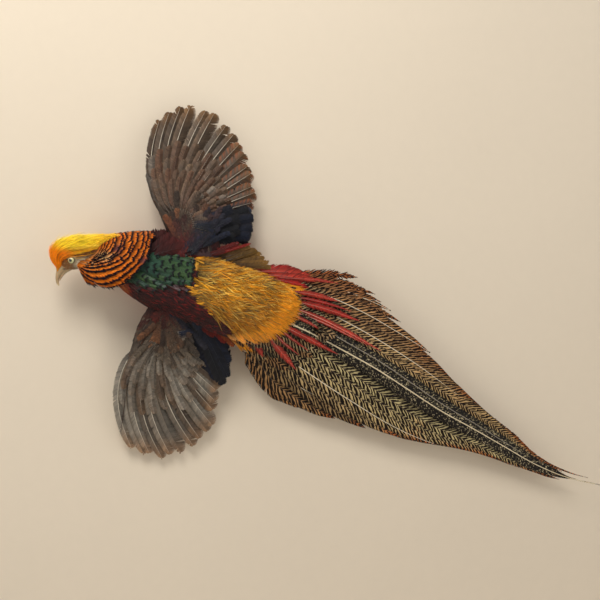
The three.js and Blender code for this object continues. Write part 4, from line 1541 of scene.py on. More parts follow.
# The outer sign is 0 for a feather of the middle. Worn places are rust-coloured: distance and half length.
def tailTinting(ground, deep, outerSign, tips=None, worn=()):
    def tinting(owner, s, sign, stops, rng):
        base = mixTone(ground[owner], deep, rng.uniform(0, 0.35, len(ground))[owner])
        base = mixTone(base, "b3602a", rampOf(0.82, 0.95, s) * 0.95)
        base = shaded(base, 1 + 0.14 * np.sin(5.3 * owner + 1.0))
        base = mixTone(base, deep, (1 - rampOf(0.0, 0.06, s)) * 0.5)
        light = 1 + 0.12 * wavering(owner * 3.1 + sign, s * 2)[:, None] + rng.normal(0, 0.08, len(s))[:, None]
        # The web that lies under the next feather darkens towards its edge, and the outer web darkens at its
        # very edge: painted shade under the overlap and painted shadow lines between the feathers.
        inner = 1 - 0.6 * (sign != outerSign)[:, None] * stops * (outerSign != 0)
        edge = 1 - 0.5 * (sign == outerSign)[:, None] * stops ** 5 * (outerSign != 0)
        rows = alongStops(base, stops)
        for place, half in worn:
            share = np.exp(-((tips[owner] * s - place) / half) ** 2) * (sign == outerSign)
            rows = mixTone(rows, "b9692e", share[:, None] * stops ** 1.5)
        return shaded(rows, np.clip(light * inner * edge, 0.25, 1.6))
    return tinting


def barredMaterial(name, bar, pitch, waver, share):
    def barred(tree):
        mask = useGroup(tree, "bars", Vane=vaneNode(tree), Pitch=pitch, Waver=waver, Share=share)["Mask"]
        return blendNode(tree, mask, tintNode(tree), tone(bar))
    return mottledMaterial(name, 0.62, (50.0, 900.0, 0.25), (0.2, 0.0003), barred, Specular_IOR_Level=0.15)


# Round pale spots in a dark web of lines.
def spottedMaterial(name, dark, scale):
    def spotted(tree):
        place = addNode(tree, "ShaderNodeMapping", Vector=vaneNode(tree), Scale=(0.75, 1.0, 1.0)).outputs[0]
        cells = addNode(tree, "ShaderNodeTexVoronoi", Vector=place, Scale=scale, Randomness=0.75)
        web = softStep(tree, cells.outputs["Distance"], 0.2, 0.46)
        return blendNode(tree, web, tintNode(tree), tone(dark))
    return mottledMaterial(name, 0.55, (50.0, 900.0, 0.25), (0.2, 0.0003), spotted, Specular_IOR_Level=0.2)


def tailSide(side, sign, rng):
    tips, root, tip, outer, inner, worn, pale = np.array(tailFeathers[side], float).T
    frayed = int(worn.sum())
    count = len(tips)
    start = tail["start"]
    t = np.linspace(0, 1, 60)[None]

    def outline(where):
        return smoothLine(tail[side], np.clip(where / tail["length"], 0, 1))

    def shareAt(owner, s):
        return root[owner] + (tip - root)[owner] * s ** 1.7

    distance = start + (tips[:, None] - start) * t
    aside = outline(distance) * shareAt(np.arange(count)[:, None], t)
    rise = -5.8 + 0.55 * np.arange(count)[:, None] + np.zeros_like(t)
    spine = wallSpines(tailPoint(distance, sign * aside, rise))

    def limit(owner, s, webSign):
        owner = owner + frayed
        where = start + (tips[owner] - start) * s
        shaft = outline(where) * shareAt(owner, s)
        room = outline(where) - shaft
        for _ in range(2):
            room = outline(where + rectrix["slant"] * np.maximum(room, 0)) - shaft
        return np.where(webSign == sign, np.maximum(room, 2.0), 60.0) * mm

    edge, centre, deep, wornPlaces = tailGrounds[side]
    ground = mixTone(evenTone(edge, count), centre, np.linspace(0, 1.3, count))
    parts = []
    for first, last, style, bound in ((0, frayed, frayedRectrix, None), (frayed, count, rectrix, limit)):
        if first == last:
            continue
        some = {key: value[first:last] for key, value in spine.items()}
        webs = (outer[first:last] * mm, inner[first:last] * mm)[::sign]
        tinting = tailTinting(ground[first:last], deep, sign, tips[first:last], wornPlaces)
        parts.append(barbPart(some, style, *webs, rng, tinting, cellCharting(count, first), bound))
    pins = np.where(pale[:, None] > 0, tone("d8cbae"), tone("4a3826"))
    return parts + [shaftPart(spine, rectrix, np.where(pale > 0, 0.8, 0.55) * mm, pins)]


tailMiddle = dict(
    rectrix, camber=0.7, slant=1.3, outline=taperedOutline(0.9, 0.1, 0.05, 0.6, 0.32, 1.7),
    tips=(645, 600), asides=(-5, 9), rises=(4.0, 2.8), rootRise=3.0, web=(19, 18), radii=(1.1, 0.8),
    grounds=("b0a07c", "a69670"), pins=("d9c7a0", "8a8070"),
)


def tailMiddleParts(rng):
    t = np.linspace(0, 1, 90)[None]
    tips, asides, rises, web, radii = (
        np.array(tailMiddle[key], float)[:, None] for key in ("tips", "asides", "rises", "web", "radii")
    )
    rise = rises + tailMiddle["rootRise"] * (1 - t) ** 5
    points = tailPoint(tail["start"] + (tips - tail["start"]) * t, asides * (1 - t ** 2), rise)
    spine = wallSpines(overBody(points, -8 + 7.5 * rampOf(0.03, 0.09, t)))
    ground, pins = (np.array([tone(code) for code in tailMiddle[key]]) for key in ("grounds", "pins"))
    tinting = tailTinting(ground, "7a7462", 0)
    return featherParts(spine, tailMiddle, web[:, 0] * mm, rng, tinting, radii[:, 0] * mm, pins)


# Scarlet plumes. Each row: root x, z and tip x, z seen square on, half width, paleness of the shaft.
plumes = [
    (36, 52, 114, 39, 7, 0.2), (44, 48, 128, 30, 7.5, 0.2), (52, 42, 141, 19, 7, 0.3),
    (60, 36, 122, 12, 6, 0.2), (78, 34, 170, 11, 3.0, 0.2), (84, 14, 169, -17, 4.4, 0.3),
    (74, 4, 198, -51, 5.2, 0.5),
    (80, 8, 186, -34, 2.6, 0.3), (78, -4, 227, -102, 4.2, 1.0), (84, -14, 206, -90, 2.2, 0.9),
    (52, -19, 158, -97, 5.0, 0.5), (44, -34, 91, -112, 5.6, 0.4), (32, -44, 42, -84, 4.8, 0.2),
    (54, -38, 96, -88, 2.4, 0.6), (24, -46, 24, -68, 3.6, 0.1), (60, -30, 112, -84, 2.2, 0.4),
    (66, -8, 138, -58, 2.6, 0.4),
]
plumeStyle = dict(
    remex, bare=0.1, pitch=1.7, slant=1.5, tilt=0.0, camber=0.6, splits=4, gape=1.8, fray=0.1, ruffle=0.25,
    shaftRings=16, cover=1.5, outline=taperedOutline(0.35, 0.65, 0.3, 0.5, 0.5, 1.4),
)


def plumeParts(rng):
    rows = np.array(plumes, float)
    t = np.linspace(0, 1, 20)[None]
    startD, startA = tailPlaneOf(rows[:, :1], rows[:, 1:2])
    endD, endA = tailPlaneOf(rows[:, 2:3], rows[:, 3:4])
    distance = startD + (endD - startD) * t
    aside = startA + (endA - startA) * t + 2.0 * np.sin(np.pi * t) * np.sign(startA)
    rise = 8.6 - 4.2 * t + np.linspace(0, 1.6, len(rows))[:, None]
    spine = wallSpines(overBody(tailPoint(distance, aside, rise), -2.5 + 7 * t))

    def tinting(owner, s, sign, stops, rng):
        base = mixTone(evenTone("96190f", len(s)), "4e100a", 1 - rampOf(0.0, 0.35, s))
        base = mixTone(base, "a83a28", rng.uniform(0, 0.8, len(rows))[owner])
        light = (1 + rng.normal(0, 0.28, len(s))[:, None]) * (1.3 - 0.85 * stops)
        return shaded(alongStops(base, stops), np.clip(light, 0.3, 1.8))

    pins = mixTone(evenTone("7a1812", len(rows)), "cf9a88", rows[:, 5])
    return featherParts(spine, plumeStyle, rows[:, 4] * mm, rng, tinting, 0.6 * mm, pins)


# Coverts over the root of the tail, in rows beyond the rump's far edge with their lengths, and some under it.
tailCoverts = dict(
    rectrix, pitch=2.4, slant=1.4, splits=2, gape=1.4, ruffle=0.15, warp=0,
    edge=((-62, -34, -15, 5, 45, 54), (-22, -1, 12, 18, 13, -14)),
    rows=((20, 70), (8, 66), (-4, 60), (-14, 52)),
    asides=(-62, 52), spacing=9.5, web=(7.0, 9.0), fan=0.14, middle=(2, 11),
    lattice=(10.5, 10.5), ends=(0.74, 0.995), under=(34, 56),
    lay={"stiff": 0.25, "rise": -2.4, "tipRise": 0.015},
)


def tailCovertSpines(rng):
    distances, asides, lengths = [], [], []
    low, high = tailCoverts["asides"]
    for at, (start, length) in enumerate(tailCoverts["rows"]):
        aside = np.arange(low, high, tailCoverts["spacing"]) + 0.5 * tailCoverts["spacing"] * (at % 2)
        aside = aside + rng.uniform(-1.5, 1.5, len(aside))
        aside = aside[np.abs(aside - tailCoverts["middle"][0]) > tailCoverts["middle"][1]]
        distances.append(start + np.interp(aside, *tailCoverts["edge"]) + rng.uniform(-3, 3, len(aside)))
        asides.append(aside)
        lengths.append(length * rng.uniform(0.85, 1.1, len(aside)))
    distance, aside, length = (np.concatenate(rows)[:, None] for rows in (distances, asides, lengths))
    t = np.linspace(0, 1, 14)[None]
    points = tailPoint(distance + length * t, aside * (1 + tailCoverts["fan"] * t), 2.0)
    rank = np.linspace(0, 2.0, len(distance))[:, None]
    points[..., 1] -= rank * (0.3 + 0.7 * (1 - t)) * mm
    points = overBody(points, -4.5 + 3.5 * t)
    return wallSpines(points), points[:, 0]


def rearFirst(turn, along, keep):
    turn, along = turn[keep], along[keep]
    order = np.argsort(-along)
    return turn[order], along[order]


def tailCovertParts(rng):
    def tinting(owner, s, sign, stops, rng):
        feathers = owner.max() + 1
        base = mixTone(evenTone("b8a87e", feathers), "96683c", rng.uniform(0, 1, feathers))
        base = mixTone(base, "3c3a2c", (rng.random(feathers) < 0.22) * 0.75)[owner]
        base = mixTone(base, "3a2a1c", (1 - rampOf(0.0, 0.12, s)) * 0.6)
        light = rng.normal(1, 0.1, len(s))[:, None] * (1 - 0.3 * stops)
        return shaded(alongStops(base, stops), np.clip(light, 0.25, 1.6))

    def row(spine, roots):
        web = rng.uniform(*tailCoverts["web"], len(roots)) * mm
        return barbPart(spine, tailCoverts, web, web, rng, tinting, patchCharting(roots))

    spine, starts = tailCovertSpines(rng)
    over = row(spine, bodyChart(starts))
    surface = formSurface(body)
    turn, along = lattice(body, tailCoverts["lattice"], tailCoverts["ends"], rng, 0.3)
    turn, along = rearFirst(turn, along, (backOf(turn) < -0.05) & (tailDistance(surface(turn, along)) > 8))
    length = rng.uniform(*tailCoverts["under"], len(turn)) * mm
    lean = rng.normal(0, 0.006, len(turn))
    laid = layPaths(surface, turn, along, length, lean, tailCoverts["lay"], np.linspace(0, 1, 12))
    return [over, row(spineFrame(*laid), chartPlace("body", turn, along))]


def addTail():
    rng = np.random.default_rng(31)
    pin = pinMaterial()
    upper = barredMaterial("tailBars", "1a0d06", 0.0086, 0.0034, 0.38)
    lower = barredMaterial("tailBarsDeep", "160d07", 0.0096, 0.004, 0.45)
    small = barredMaterial("covertBars", "160d07", 0.0074, 0.0020, 0.4)
    spots = spottedMaterial("tailSpots", "15100c", 400.0)
    scarlet = coatMaterial("scarletVane", 0.5, lines=0.0, contrast=0.0, amount=0.25)
    for side, sign, barred in (("right", 1, upper), ("left", -1, lower)):
        parts = tailSide(side, sign, rng)
        addPiece(f"tail_side_feathers_{side}", parts, [barred, pin], (f"tail_side_{side}",))
    addPiece("tail_covert_feathers", tailCovertParts(rng), [small])
    parts = tailMiddleParts(rng)
    addPiece("tail_middle_feathers", parts, [spots, pin], ("tail_middle",))
    addPiece("tail_plume_feathers", plumeParts(rng), [scarlet, pin], ("tail_plumes",))


# The cape: rows of square-ended feathers, each of many narrow strips, from the face to the shoulders.

cape = {
    "inner": [
        (-199, 46, 78), (-187, 47, 106), (-179, 62, 119), (-182, 79, 107), (-190, 80, 94), (-201, 75, 83),
        (-208, 67, 79),
    ],
    "outer": [
        (-160, 16, 52), (-128, 14, 94), (-101, 40, 121), (-100, 80, 116), (-119, 101, 82), (-159, 88, 53),
        (-199, 60, 57),
    ],
    "hub": (-170, 58, 84), "swell": 7, "bands": (4.0, 4.2, 4.6, 5.2, 6.0, 7.0, 7.8, 8.2, 8.4, 8.6, 8.6, 8.6),
    "strip": 1.25, "band": 0.46, "spread": 0.8, "thick": 0.3, "lift": 1.3, "sink": 1.2,
    "outline": (0.9, 1, 1, 1, 1, 0.85, 0.4),
}
addTones(
    capeOrange="c85a0a", capeDeep="722606", capeLight="ea8c28", capeBuff="cdb27c", capeBlack="140905",
    capeBlue="16213a",
)


# Places on the cape: u runs round the neck, v from the face to the shoulders.
def capeSurface(u, v):
    inner = smoothLine([wallPoint(row) for row in cape["inner"]], u)
    outer = smoothLine([wallPoint(row) for row in cape["outer"]], u)
    ground = inner + (outer - inner) * v[..., None]
    away = unit(ground - wallPoint(cape["hub"]))
    swell = cape["swell"] * mm * np.sin(np.pi * np.clip(v, 0, 1)) * (1 - 0.75 * rampOf(0.8, 1.0, u))
    return ground + away * swell[..., None]


def capeNormal(u, v, step=1e-3):
    held = np.clip(u, step, 1 - step)
    around = capeSurface(held + step, v) - capeSurface(held - step, v)
    outwards = capeSurface(held, v + step) - capeSurface(held, v - step)
    return facing(unit(np.cross(around, outwards)), capeSurface(held, v) - wallPoint(cape["hub"]))


def capeParts(rng):
    bands = np.array(cape["bands"], float)
    beyond = bands[::-1].cumsum()[::-1] - bands
    fine = np.linspace(0, 1, 240)
    across = capeSurface(fine, np.ones(240)) - capeSurface(fine, np.zeros(240))
    widths = np.linalg.norm(across, axis=1) / mm * 1.05 / (1 + cape["spread"] * rampOf(0.55, 0.9, fine))
    square = 0.5 + 0.5 * (1 - cape["band"])
    stops = np.array([0, 0.25, 0.5, square - 0.03, square + 0.03, 0.88, 1])
    dark = (np.arange(len(stops)) > 3) * 1.0
    parts = []
    for at, (band, far) in enumerate(zip(bands, beyond)):
        tipLine = 1 - far / widths
        shown = tipLine > 0.01
        steps = np.linalg.norm(np.diff(capeSurface(fine, tipLine), axis=0), axis=1)
        steps = steps * (shown[1:] & shown[:-1])
        run = np.concatenate([[0], np.cumsum(steps)])
        around = run[-1]
        count = int(around / (cape["strip"] * (0.7 if band < 5 else 1.0) * mm))
        share = (np.arange(count) + 0.5 + rng.uniform(-0.3, 0.3, count)) / count
        u = np.interp(share * around, run, fine)
        tip = np.interp(u, fine, tipLine)
        span = np.interp(u, fine, widths)
        feathers = max(int(around / (max(band * 1.7, 5) * mm)), 4)
        place = share * feathers + 0.5 * (at % 2)
        local = place % 1 * 2 - 1
        lift = rng.normal(0, 0.2, feathers + 2)[place.astype(int)]
        steady = 0.35 + 0.65 * rampOf(75, 100, capeSurface(u, tip)[:, 2] / mm)
        reach = tip + ((lift - 0.35 * local ** 6) * steady + rng.normal(0, 0.08, count)) * band / span
        if at == len(bands) - 1:
            reach += np.minimum(rng.gamma(1.2, 0.12, count), 0.4) * band / span
        start = reach - 2.0 * band / span
        v = start[:, None] + (reach - start)[:, None] * stops
        turning = rng.normal(0, 0.0015, count)[:, None] * stops
        turning = turning - 0.075 / feathers * local[:, None] * (stops - 1)
        us = np.clip(u[:, None] + turning, 0, 1)
        normals = capeNormal(us, v)
        rise = -cape["sink"] + (cape["lift"] + cape["sink"]) * stops ** 1.3
        rise = rise + rng.normal(0, 0.1, count)[:, None] * stops
        path = capeSurface(us, v) + normals * (rise * mm)[..., None]
        half = 0.5 * around / count * 1.5 * np.array(cape["outline"]) + np.zeros((count, 1))
        middle = path[:, 3]
        base = painted(
            evenTone("capeOrange", count),
            ("capeLight", rng.uniform(0, 0.55, count)),
            ("capeDeep", rampOf(0.55, 1.0, tip) * 0.3),
            ("capeBuff", 0.85 * near(middle, -172, 98, 12, 7)),
            ("capeBuff", 0.7 * near(middle, -193, 90, 7, 10) * (rng.random(count) < 0.6)),
            ("capeBlue", 0.85 * np.maximum(near(middle, -151, 106, 6, 9), near(middle, -116, 84, 5, 8))),
        )
        black = mixTone(evenTone("capeBlack", count), "capeBlue", rng.uniform(0, 0.2, count))
        tints = mixTone(alongStops(base, stops), alongStops(black, stops), dark)
        deep = 0.42 if band > 6 else 0.65
        light = np.interp(stops, (0, 0.45, 0.72, 1), (0.3, deep, 1.2, 1))
        light = rng.normal(1, 0.15, count)[:, None] * light
        light = light * (1 - 0.65 * rampOf(78, 100, middle[:, 2] / mm) * np.abs(local) ** 8)[:, None]
        tints = shaded(tints, np.clip(light, 0.3, 1.6))
        roots = np.stack([0.01 + 0.98 * u, 0.02 + 0.94 * np.clip(reach, 0, 1.03)], -1)
        parts.append(lockStrips(path, normals, half, cape["thick"], 0.6, tints, roots, stops, 0.12))
    return parts


# The crest: long silky locks that start at the bill, stand up at the brow and flow back over the cape.

crest = {
    "rows": [
        (-239.5, 62, 82, 2.6, 4.0), (-237.6, 62, 90, 6, 7.2), (-238.5, 62, 99, 9.5, 10.5),
        (-234, 62, 108, 14, 13.5), (-217, 62, 114, 14.5, 15), (-195, 62, 114.5, 14.5, 15.5),
        (-172, 62, 118.5, 9.5, 14), (-150, 62, 122, 5, 9), (-128, 62, 121, 1.5, 3.5),
    ],
    "pitch": (2.3, 1.25), "ends": (0.0, 0.88), "length": (18, 36), "width": (0.8, 1.5),
    "thick": 0.3, "arch": 0.35, "rise": -1.6, "tipRise": 0.05, "lean": 0.03, "stiff": 0.35,
    "core": 2.4, "loose": 0.2, "stray": 6.5,
}
addTones(
    crestFront="fb8a00", crestLemon="ffdf34", crestGold="f6a80e", crestAmber="d88a12", crestRear="c47a1c",
    crestDark="a8660f",
)


def crestMarks(points, rng):
    x, z = planeOf(points)
    lemon = rampOf(106, 117, z) * rampOf(-243, -232, x) * (1 - 0.6 * rampOf(-195, -155, x))
    front = (1 - rampOf(110, 123, z + 0.3 * (x + 236))) * (1 - rampOf(-221, -209, x))
    roll = np.broadcast_to(rng.random(len(points))[:, None], x.shape)
    return painted(
        np.broadcast_to(tone("crestGold"), x.shape + (4,)),
        ("crestLemon", lemon),
        ("crestFront", front),
        ("crestRear", rampOf(-165, -140, x) * 0.5),
        ("crestLemon", (roll < 0.25) * 0.45 * (1 - front)),
        ("crestDark", (roll > 0.82) * 0.35),
    )


def crestParts(rng):
    form = formFrom(crest["rows"])
    turn, along = lattice(form, crest["pitch"], crest["ends"], rng, 0.5)
    count = len(turn)
    stops = np.linspace(0, 1, 7)
    length = rng.uniform(*crest["length"], count) * mm * (1 - 0.85 * rampOf(0.5, 0.84, along))
    width = rng.uniform(*crest["width"], count) * mm
    lean = rng.normal(0, crest["lean"], count)
    path, normals = layPaths(formSurface(form), turn, along, length, lean, crest, stops)
    loose = (rng.random(count) < crest["loose"]) * rng.uniform(0.3, 1, count)
    loose = loose * (1 - 0.6 * rampOf(0.3, 0.7, along))
    path = path + normals * (loose * crest["stray"] * mm)[:, None, None] * (stops ** 1.6)[None, :, None]
    base = crestMarks(path, rng)
    wave = 0.12 * np.sin(turn * 130 + 5 * np.sin(along * 7)) + 0.08 * np.sin(turn * 61 + along * 9)
    light = (rng.normal(1.06, 0.15, count) + wave)[:, None] * (0.76 + 0.3 * stops)
    tints = shaded(base, np.clip(light, 0.3, 1.7))
    roots = np.stack([0.01 + 0.98 * turn, 0.02 + 0.95 * along], -1)
    half = width[:, None] / 2 * lockShape(stops)
    locks = lockStrips(path, normals, half, crest["thick"], 0.7, tints, roots, stops, crest["arch"])
    rings = 40
    depth = -crest["core"] * mm * np.interp(np.linspace(0, 1, rings), [0, 0.2, 0.8, 1], [0.4, 1, 1, 0.2])
    # The core is crest amber darkened to three quarters: painted shade under the locks.
    amber = evenTone("crestAmber", rings) * 0.75
    core = tubePart(loftRings(form, rings, 24, depth), amber, (0.01, 0.02, 0.98, 0.95))
    return [locks, core]


# Scale-like feathers of the mantle.

mantle = dict(
    remex, bare=0.06, pitch=1.05, slant=0.7, tilt=0.0, camber=2.6, ruffle=0.1, splits=1, gape=0.7,
    stops=(0, 0.45, 0.78, 1), thick=0.25, cover=1.45, web=(7.0, 8.5), length=(19, 24),
    lattice=(9.5, 9.5), ends=(0.35, 0.66), lay={"stiff": 0.3, "rise": -2.0, "tipRise": 0.1},
)


def mantleParts(rng):
    surface = formSurface(body)
    turn, along = lattice(body, mantle["lattice"], mantle["ends"], rng, 0.25)
    turn, along = rearFirst(turn, along, (backOf(turn) > 0.1) & within(surface(turn, along), mantleOutline))
    count = len(turn)
    length = rng.uniform(*mantle["length"], count) * mm

    def laid(length):
        lean = rng.normal(0, 0.006, count)
        return layPaths(surface, turn, along, length, lean, mantle["lay"], np.linspace(0, 1, 9))

    room = (~within(laid(length)[0], rumpOutline)).cumprod(1).sum(1) / 9
    path, normals = laid(length * np.clip(room + 0.1, 0.4, 1))
    middle = path[:, 5]
    edge = ~within(middle, mantleOutline)
    teal = np.clip(near(middle, -112, 88, 16, 14), 0, 1)

    def tinting(owner, s, sign, stops, rng):
        base = painted(
            evenTone("3e5630", count),
            ("1e382c", rng.uniform(0, 0.9, count)),
            ("1c4446", teal * 0.5),
            ("3a100e", edge * 1.0),
        )[owner]
        rim = np.clip(np.maximum(rampOf(0.7, 0.9, stops)[None], rampOf(0.82, 0.95, s)[:, None]), 0, 1)
        colours = mixTone(alongStops(base, stops), "0d0f10", rim)
        light = rng.normal(1, 0.12, len(s))[:, None] * (0.55 + 0.45 * rampOf(0.1, 0.6, s))[:, None]
        return shaded(colours, np.clip(light, 0.2, 1.6))

    web = rng.uniform(*mantle["web"], count) * mm
    charting = patchCharting(chartPlace("body", turn, along))
    return [barbPart(spineFrame(path, normals), mantle, web, web, rng, tinting, charting)]


# Loose feathers of the shoulders and flanks, each with its own shaft line.

scapular = dict(
    remex, bare=0.05, pitch=1.85, slant=0.9, tilt=0.0, camber=1.0, ruffle=0.2, gape=1.6,
    stops=(0, 0.4, 0.75, 1), thick=0.25, cover=1.5, shaftRings=6,
)
longFeather = dict(scapular, camber=0.35, cover=1.6)

# Each row: root x, off, z, tip x, off, z, half width, tones of root, tip and shaft.
shoulderFeathers = [
    (-36, 67, 72, 26, 71, 89, 4, "2a1d14", "5c431f", "1c130d"),
    (-30, 68, 73, 38, 71, 85, 4.5, "2a1d14", "75552a", "1c130d"),
    (-24, 69, 72, 46, 70, 80, 4.5, "2a1d14", "664720", "1c130d"),
    (-16, 71, 70, 53, 70, 73, 4.5, "33230f", "7c5a26", "1c130d"),
    (-8, 73, 67, 58, 70, 66, 4.5, "2a1d14", "6c4d20", "1c130d"),
    (0, 75, 64, 63, 70, 59, 4.5, "33230f", "7f5b28", "1c130d"),
    (6, 77, 60, 66, 70, 51, 4, "2a1d14", "6c4d20", "1c130d"),
    (-2, 74, 68, 48, 72, 78, 4, "33230f", "64481a", "1c130d"),
    (-44, 68, 76, 22, 72, 92, 4.5, "4a120d", "58150f", "70302a"),
    (-50, 70, 74, 40, 74, 90, 2.0, "5c120c", "74190f", "904a3c"),
    (-52, 72, 74, 0, 78, 84, 4, "3a120e", "4a140f", "1c130d"),
    (-62, 74, -4, -28, 66, -40, 6, "43130e", "5c170f", "1c130d"),
    (-50, 74, -8, -12, 64, -52, 6, "43130e", "66190f", "1c130d"),
    (-40, 74, -12, 0, 62, -60, 5.5, "54140e", "84401a", "8a4a30"),
    (-34, 78, -8, 6, 68, -54, 4.5, "5a2410", "8e4c20", "1c130d"),
    (-60, 78, 2, -22, 72, -28, 4, "74140e", "8a1d13", "8f3a2c"),
    (-108, 70, 102, -80, 66, 120, 6.5, "2a0f0d", "3a1512", "1c130d"),
    (-104, 74, 94, -66, 68, 116, 7, "2e0f0d", "4a1410", "1c130d"),
    (-112, 66, 104, -90, 62, 119, 5.5, "1a1210", "2c1613", "1c130d"),
    (-122, 76, 98, -93, 66, 120, 9, "240d0b", "33110d", "240d0b"),
    (-116, 80, 94, -84, 70, 118, 9, "2a0f0c", "3a120e", "2a0f0c"),
    (-110, 84, 92, -77, 76, 112, 9, "2a0f0c", "42140f", "2a0f0c"),
    (-104, 87, 90, -68, 80, 106, 9, "2e0f0c", "46140f", "2e0f0c"),
    (-98, 88, 92, -60, 82, 100, 9, "2e0f0c", "46140f", "2e0f0c"),
    (-92, 88, 94, -52, 82, 96, 9, "2e0f0c", "4a1610", "2e0f0c"),
    (-98, 78, 88, -52, 72, 108, 7, "2e0f0d", "551510", "1c130d"),
]
# Soft feathers over the root of each wing, in rows fanned about a place below its joint. Each row: first and
# last angle, nearest and farthest reach, off the wall at each, how many, half width, tones of root and tip.
scapulars = {
    "right": {"x": -60, "z": 84, "arm": "armRight", "navy": (60, -1), "rows": [
        (97, 30, 34, 86, 70, 65, 24, 4.6, "3a2c22", "4a3c30"),
        (101, 28, 26, 72, 73, 68, 22, 4.6, "3a241c", "4c392d"),
        (111, 30, 18, 58, 76, 71, 19, 4.6, "3a1814", "46281f"),
        (140, 28, 8, 42, 77, 70, 18, 4.6, "4a120e", "461a14"),
        (158, 40, 2, 26, 80, 77, 12, 4.6, "4a120e", "52140f"),
    ]},
    "left": {"x": -92, "z": 14, "arm": "armLeft", "navy": (298, 1), "rows": [
        (236, 316, 34, 86, 68, 62, 24, 4.6, "3c3026", "5c5042"),
        (234, 318, 26, 72, 71, 65, 21, 4.6, "3c2c20", "564434"),
        (228, 318, 16, 57, 74, 68, 19, 4.6, "30231b", "4c382a"),
        (216, 318, 6, 42, 75, 69, 16, 4.6, "33160f", "3f231b"),
        (206, 310, 0, 26, 77, 74, 12, 4.6, "3a120e", "46180f"),
    ]},
}
# Blue-black feathers at the inner end of each wing: root x, off, z, tip x, off, z, half width.
navyFeathers = {
    "left": [
        (-64, 72, 6, -52, 40, -84, 9), (-60, 73, 6, -40, 40, -100, 10), (-58, 74, 6, -30, 41, -112, 10),
        (-56, 75, 5, -21, 43, -121, 10), (-54, 76, 3, -13, 45, -110, 9.5), (-52, 77, 2, -9, 48, -88, 9),
        (-52, 78, 1, -10, 52, -66, 8.5), (-60, 79, 6, -30, 58, -62, 10), (-56, 80, 5, -16, 58, -44, 9),
        (-64, 80, 8, -42, 62, -46, 10), (-58, 81, 8, -24, 64, -30, 9), (-62, 91, 14, -47, 76, -24, 10),
        (-56, 91, 10, -36, 75, -20, 9),
    ],
    "right": [
        (-34, 66, 118, 45, 44, 138, 9), (-34, 67, 114, 51, 45, 124, 9), (-32, 68, 110, 48, 47, 110, 9),
        (-30, 69, 106, 42, 50, 98, 8.5), (-36, 70, 118, 20, 56, 142, 9), (-34, 71, 114, 28, 56, 126, 10),
        (-34, 72, 110, 26, 57, 112, 10), (-34, 73, 104, 18, 60, 100, 9),
    ],
}


def plainTinting(first, second, vary=0.14, edge=None):
    def tinting(owner, s, sign, stops, rng):
        rows = alongStops(mixTone(first[owner], second[owner], s), stops)
        if edge:
            rows = mixTone(rows, edge, stops ** 4 * 0.5)
        light = rng.normal(1, vary, len(s))[:, None] * (0.85 + 0.15 * stops)
        return shaded(rows, np.clip(light, 0.3, 1.6))
    return tinting


def scapularParts(side, rng):
    group = scapulars[side]
    spines, firsts, seconds, webs = [], [], [], []
    t = np.linspace(0, 1, 14)[None]
    for low, high, start, far, offNear, offFar, count, web, first, second in group["rows"]:
        share = (np.arange(count) + 0.5 + rng.uniform(-0.25, 0.25, count))[:, None] / count
        degrees = low + (high - low) * share
        navy = rampOf(-7, 7, (degrees[:, 0] - group["navy"][0]) * group["navy"][1])
        angle = np.radians(degrees) + np.radians(np.clip(rng.normal(0, 9, (count, 1)), -12, 12) * t)
        radius = start + (far * rng.uniform(0.72, 1.06, (count, 1)) - start) * t
        x = group["x"] + radius * np.cos(angle) + rng.uniform(-5, 5, (count, 1))
        z = group["z"] + radius * np.sin(angle) + rng.uniform(-5, 5, (count, 1))
        front = frontOf(flesh[group["arm"]], x, z)
        off = drapedOver(offNear + (offFar - offNear) * t + np.zeros_like(x), front, 1.5)
        spines.append(np.stack([x, -off, z], -1) * mm)
        firsts.append(mixTone(evenTone(first, count), "14141a", navy))
        fleck = rng.random(count)
        seconds.append(painted(
            evenTone(second, count),
            ("84502c", (fleck < 0.14) * 0.45),
            ("1e1814", (fleck > 0.7) * 0.6),
            ("161c2c", navy * rng.uniform(0.6, 1.0, count)),
        ))
        webs.append(np.full(count, web * mm))
    points, firsts, seconds, webs = (np.concatenate(rows) for rows in (spines, firsts, seconds, webs))
    tinting = plainTinting(firsts, seconds, 0.22)
    return featherParts(wallSpines(points), scapular, webs, rng, tinting, 0.2 * mm, firsts)


def straightSpines(rows, rng, bend=3.0):
    rows = np.array([row[:6] for row in rows], float)
    t = np.linspace(0, 1, 16)[None, :, None]
    first, last = (rows[:, None, at:at + 3] * (1, -1, 1) for at in (0, 3))
    points = first + (last - first) * t
    points[..., 2] += (np.sin(np.pi * t) * rng.uniform(-bend, bend, (len(rows), 1, 1)))[..., 0]
    return wallSpines(points * mm)


def longFeatherParts(rows, rng, tinting, pins):
    spine = straightSpines(rows, rng)
    web = np.array([row[6] for row in rows]) * mm
    return featherParts(spine, longFeather, web, rng, tinting, 0.3 * mm, pins)


def shoulderFeatherParts(rng):
    first, second, pins = (np.array([tone(row[at]) for row in shoulderFeathers]) for at in (7, 8, 9))
    return longFeatherParts(shoulderFeathers, rng, plainTinting(first, second), pins)


def navyParts(side, rng):
    rows = navyFeathers[side]
    share = rng.random(len(rows))
    first = mixTone(evenTone("0d0e12", len(rows)), "0e1420", share)
    second = mixTone(evenTone("131210", len(rows)), "14192a", share)
    tinting = plainTinting(first, second, 0.2, "2a2420")
    return longFeatherParts(rows, rng, tinting, evenTone("16151a", len(rows)))


# Short bristly feathers of the forehead that lie over the base of the bill.
brow = {
    "count": 900, "along": (-0.04, 0.3), "turn": (-0.26, 0.26), "length": (4, 8), "width": (0.6, 1.0),
    "lay": {"stiff": 0.2, "rise": 0.3, "tipRise": 0.12}, "thick": 0.15, "arch": 0.3,
}


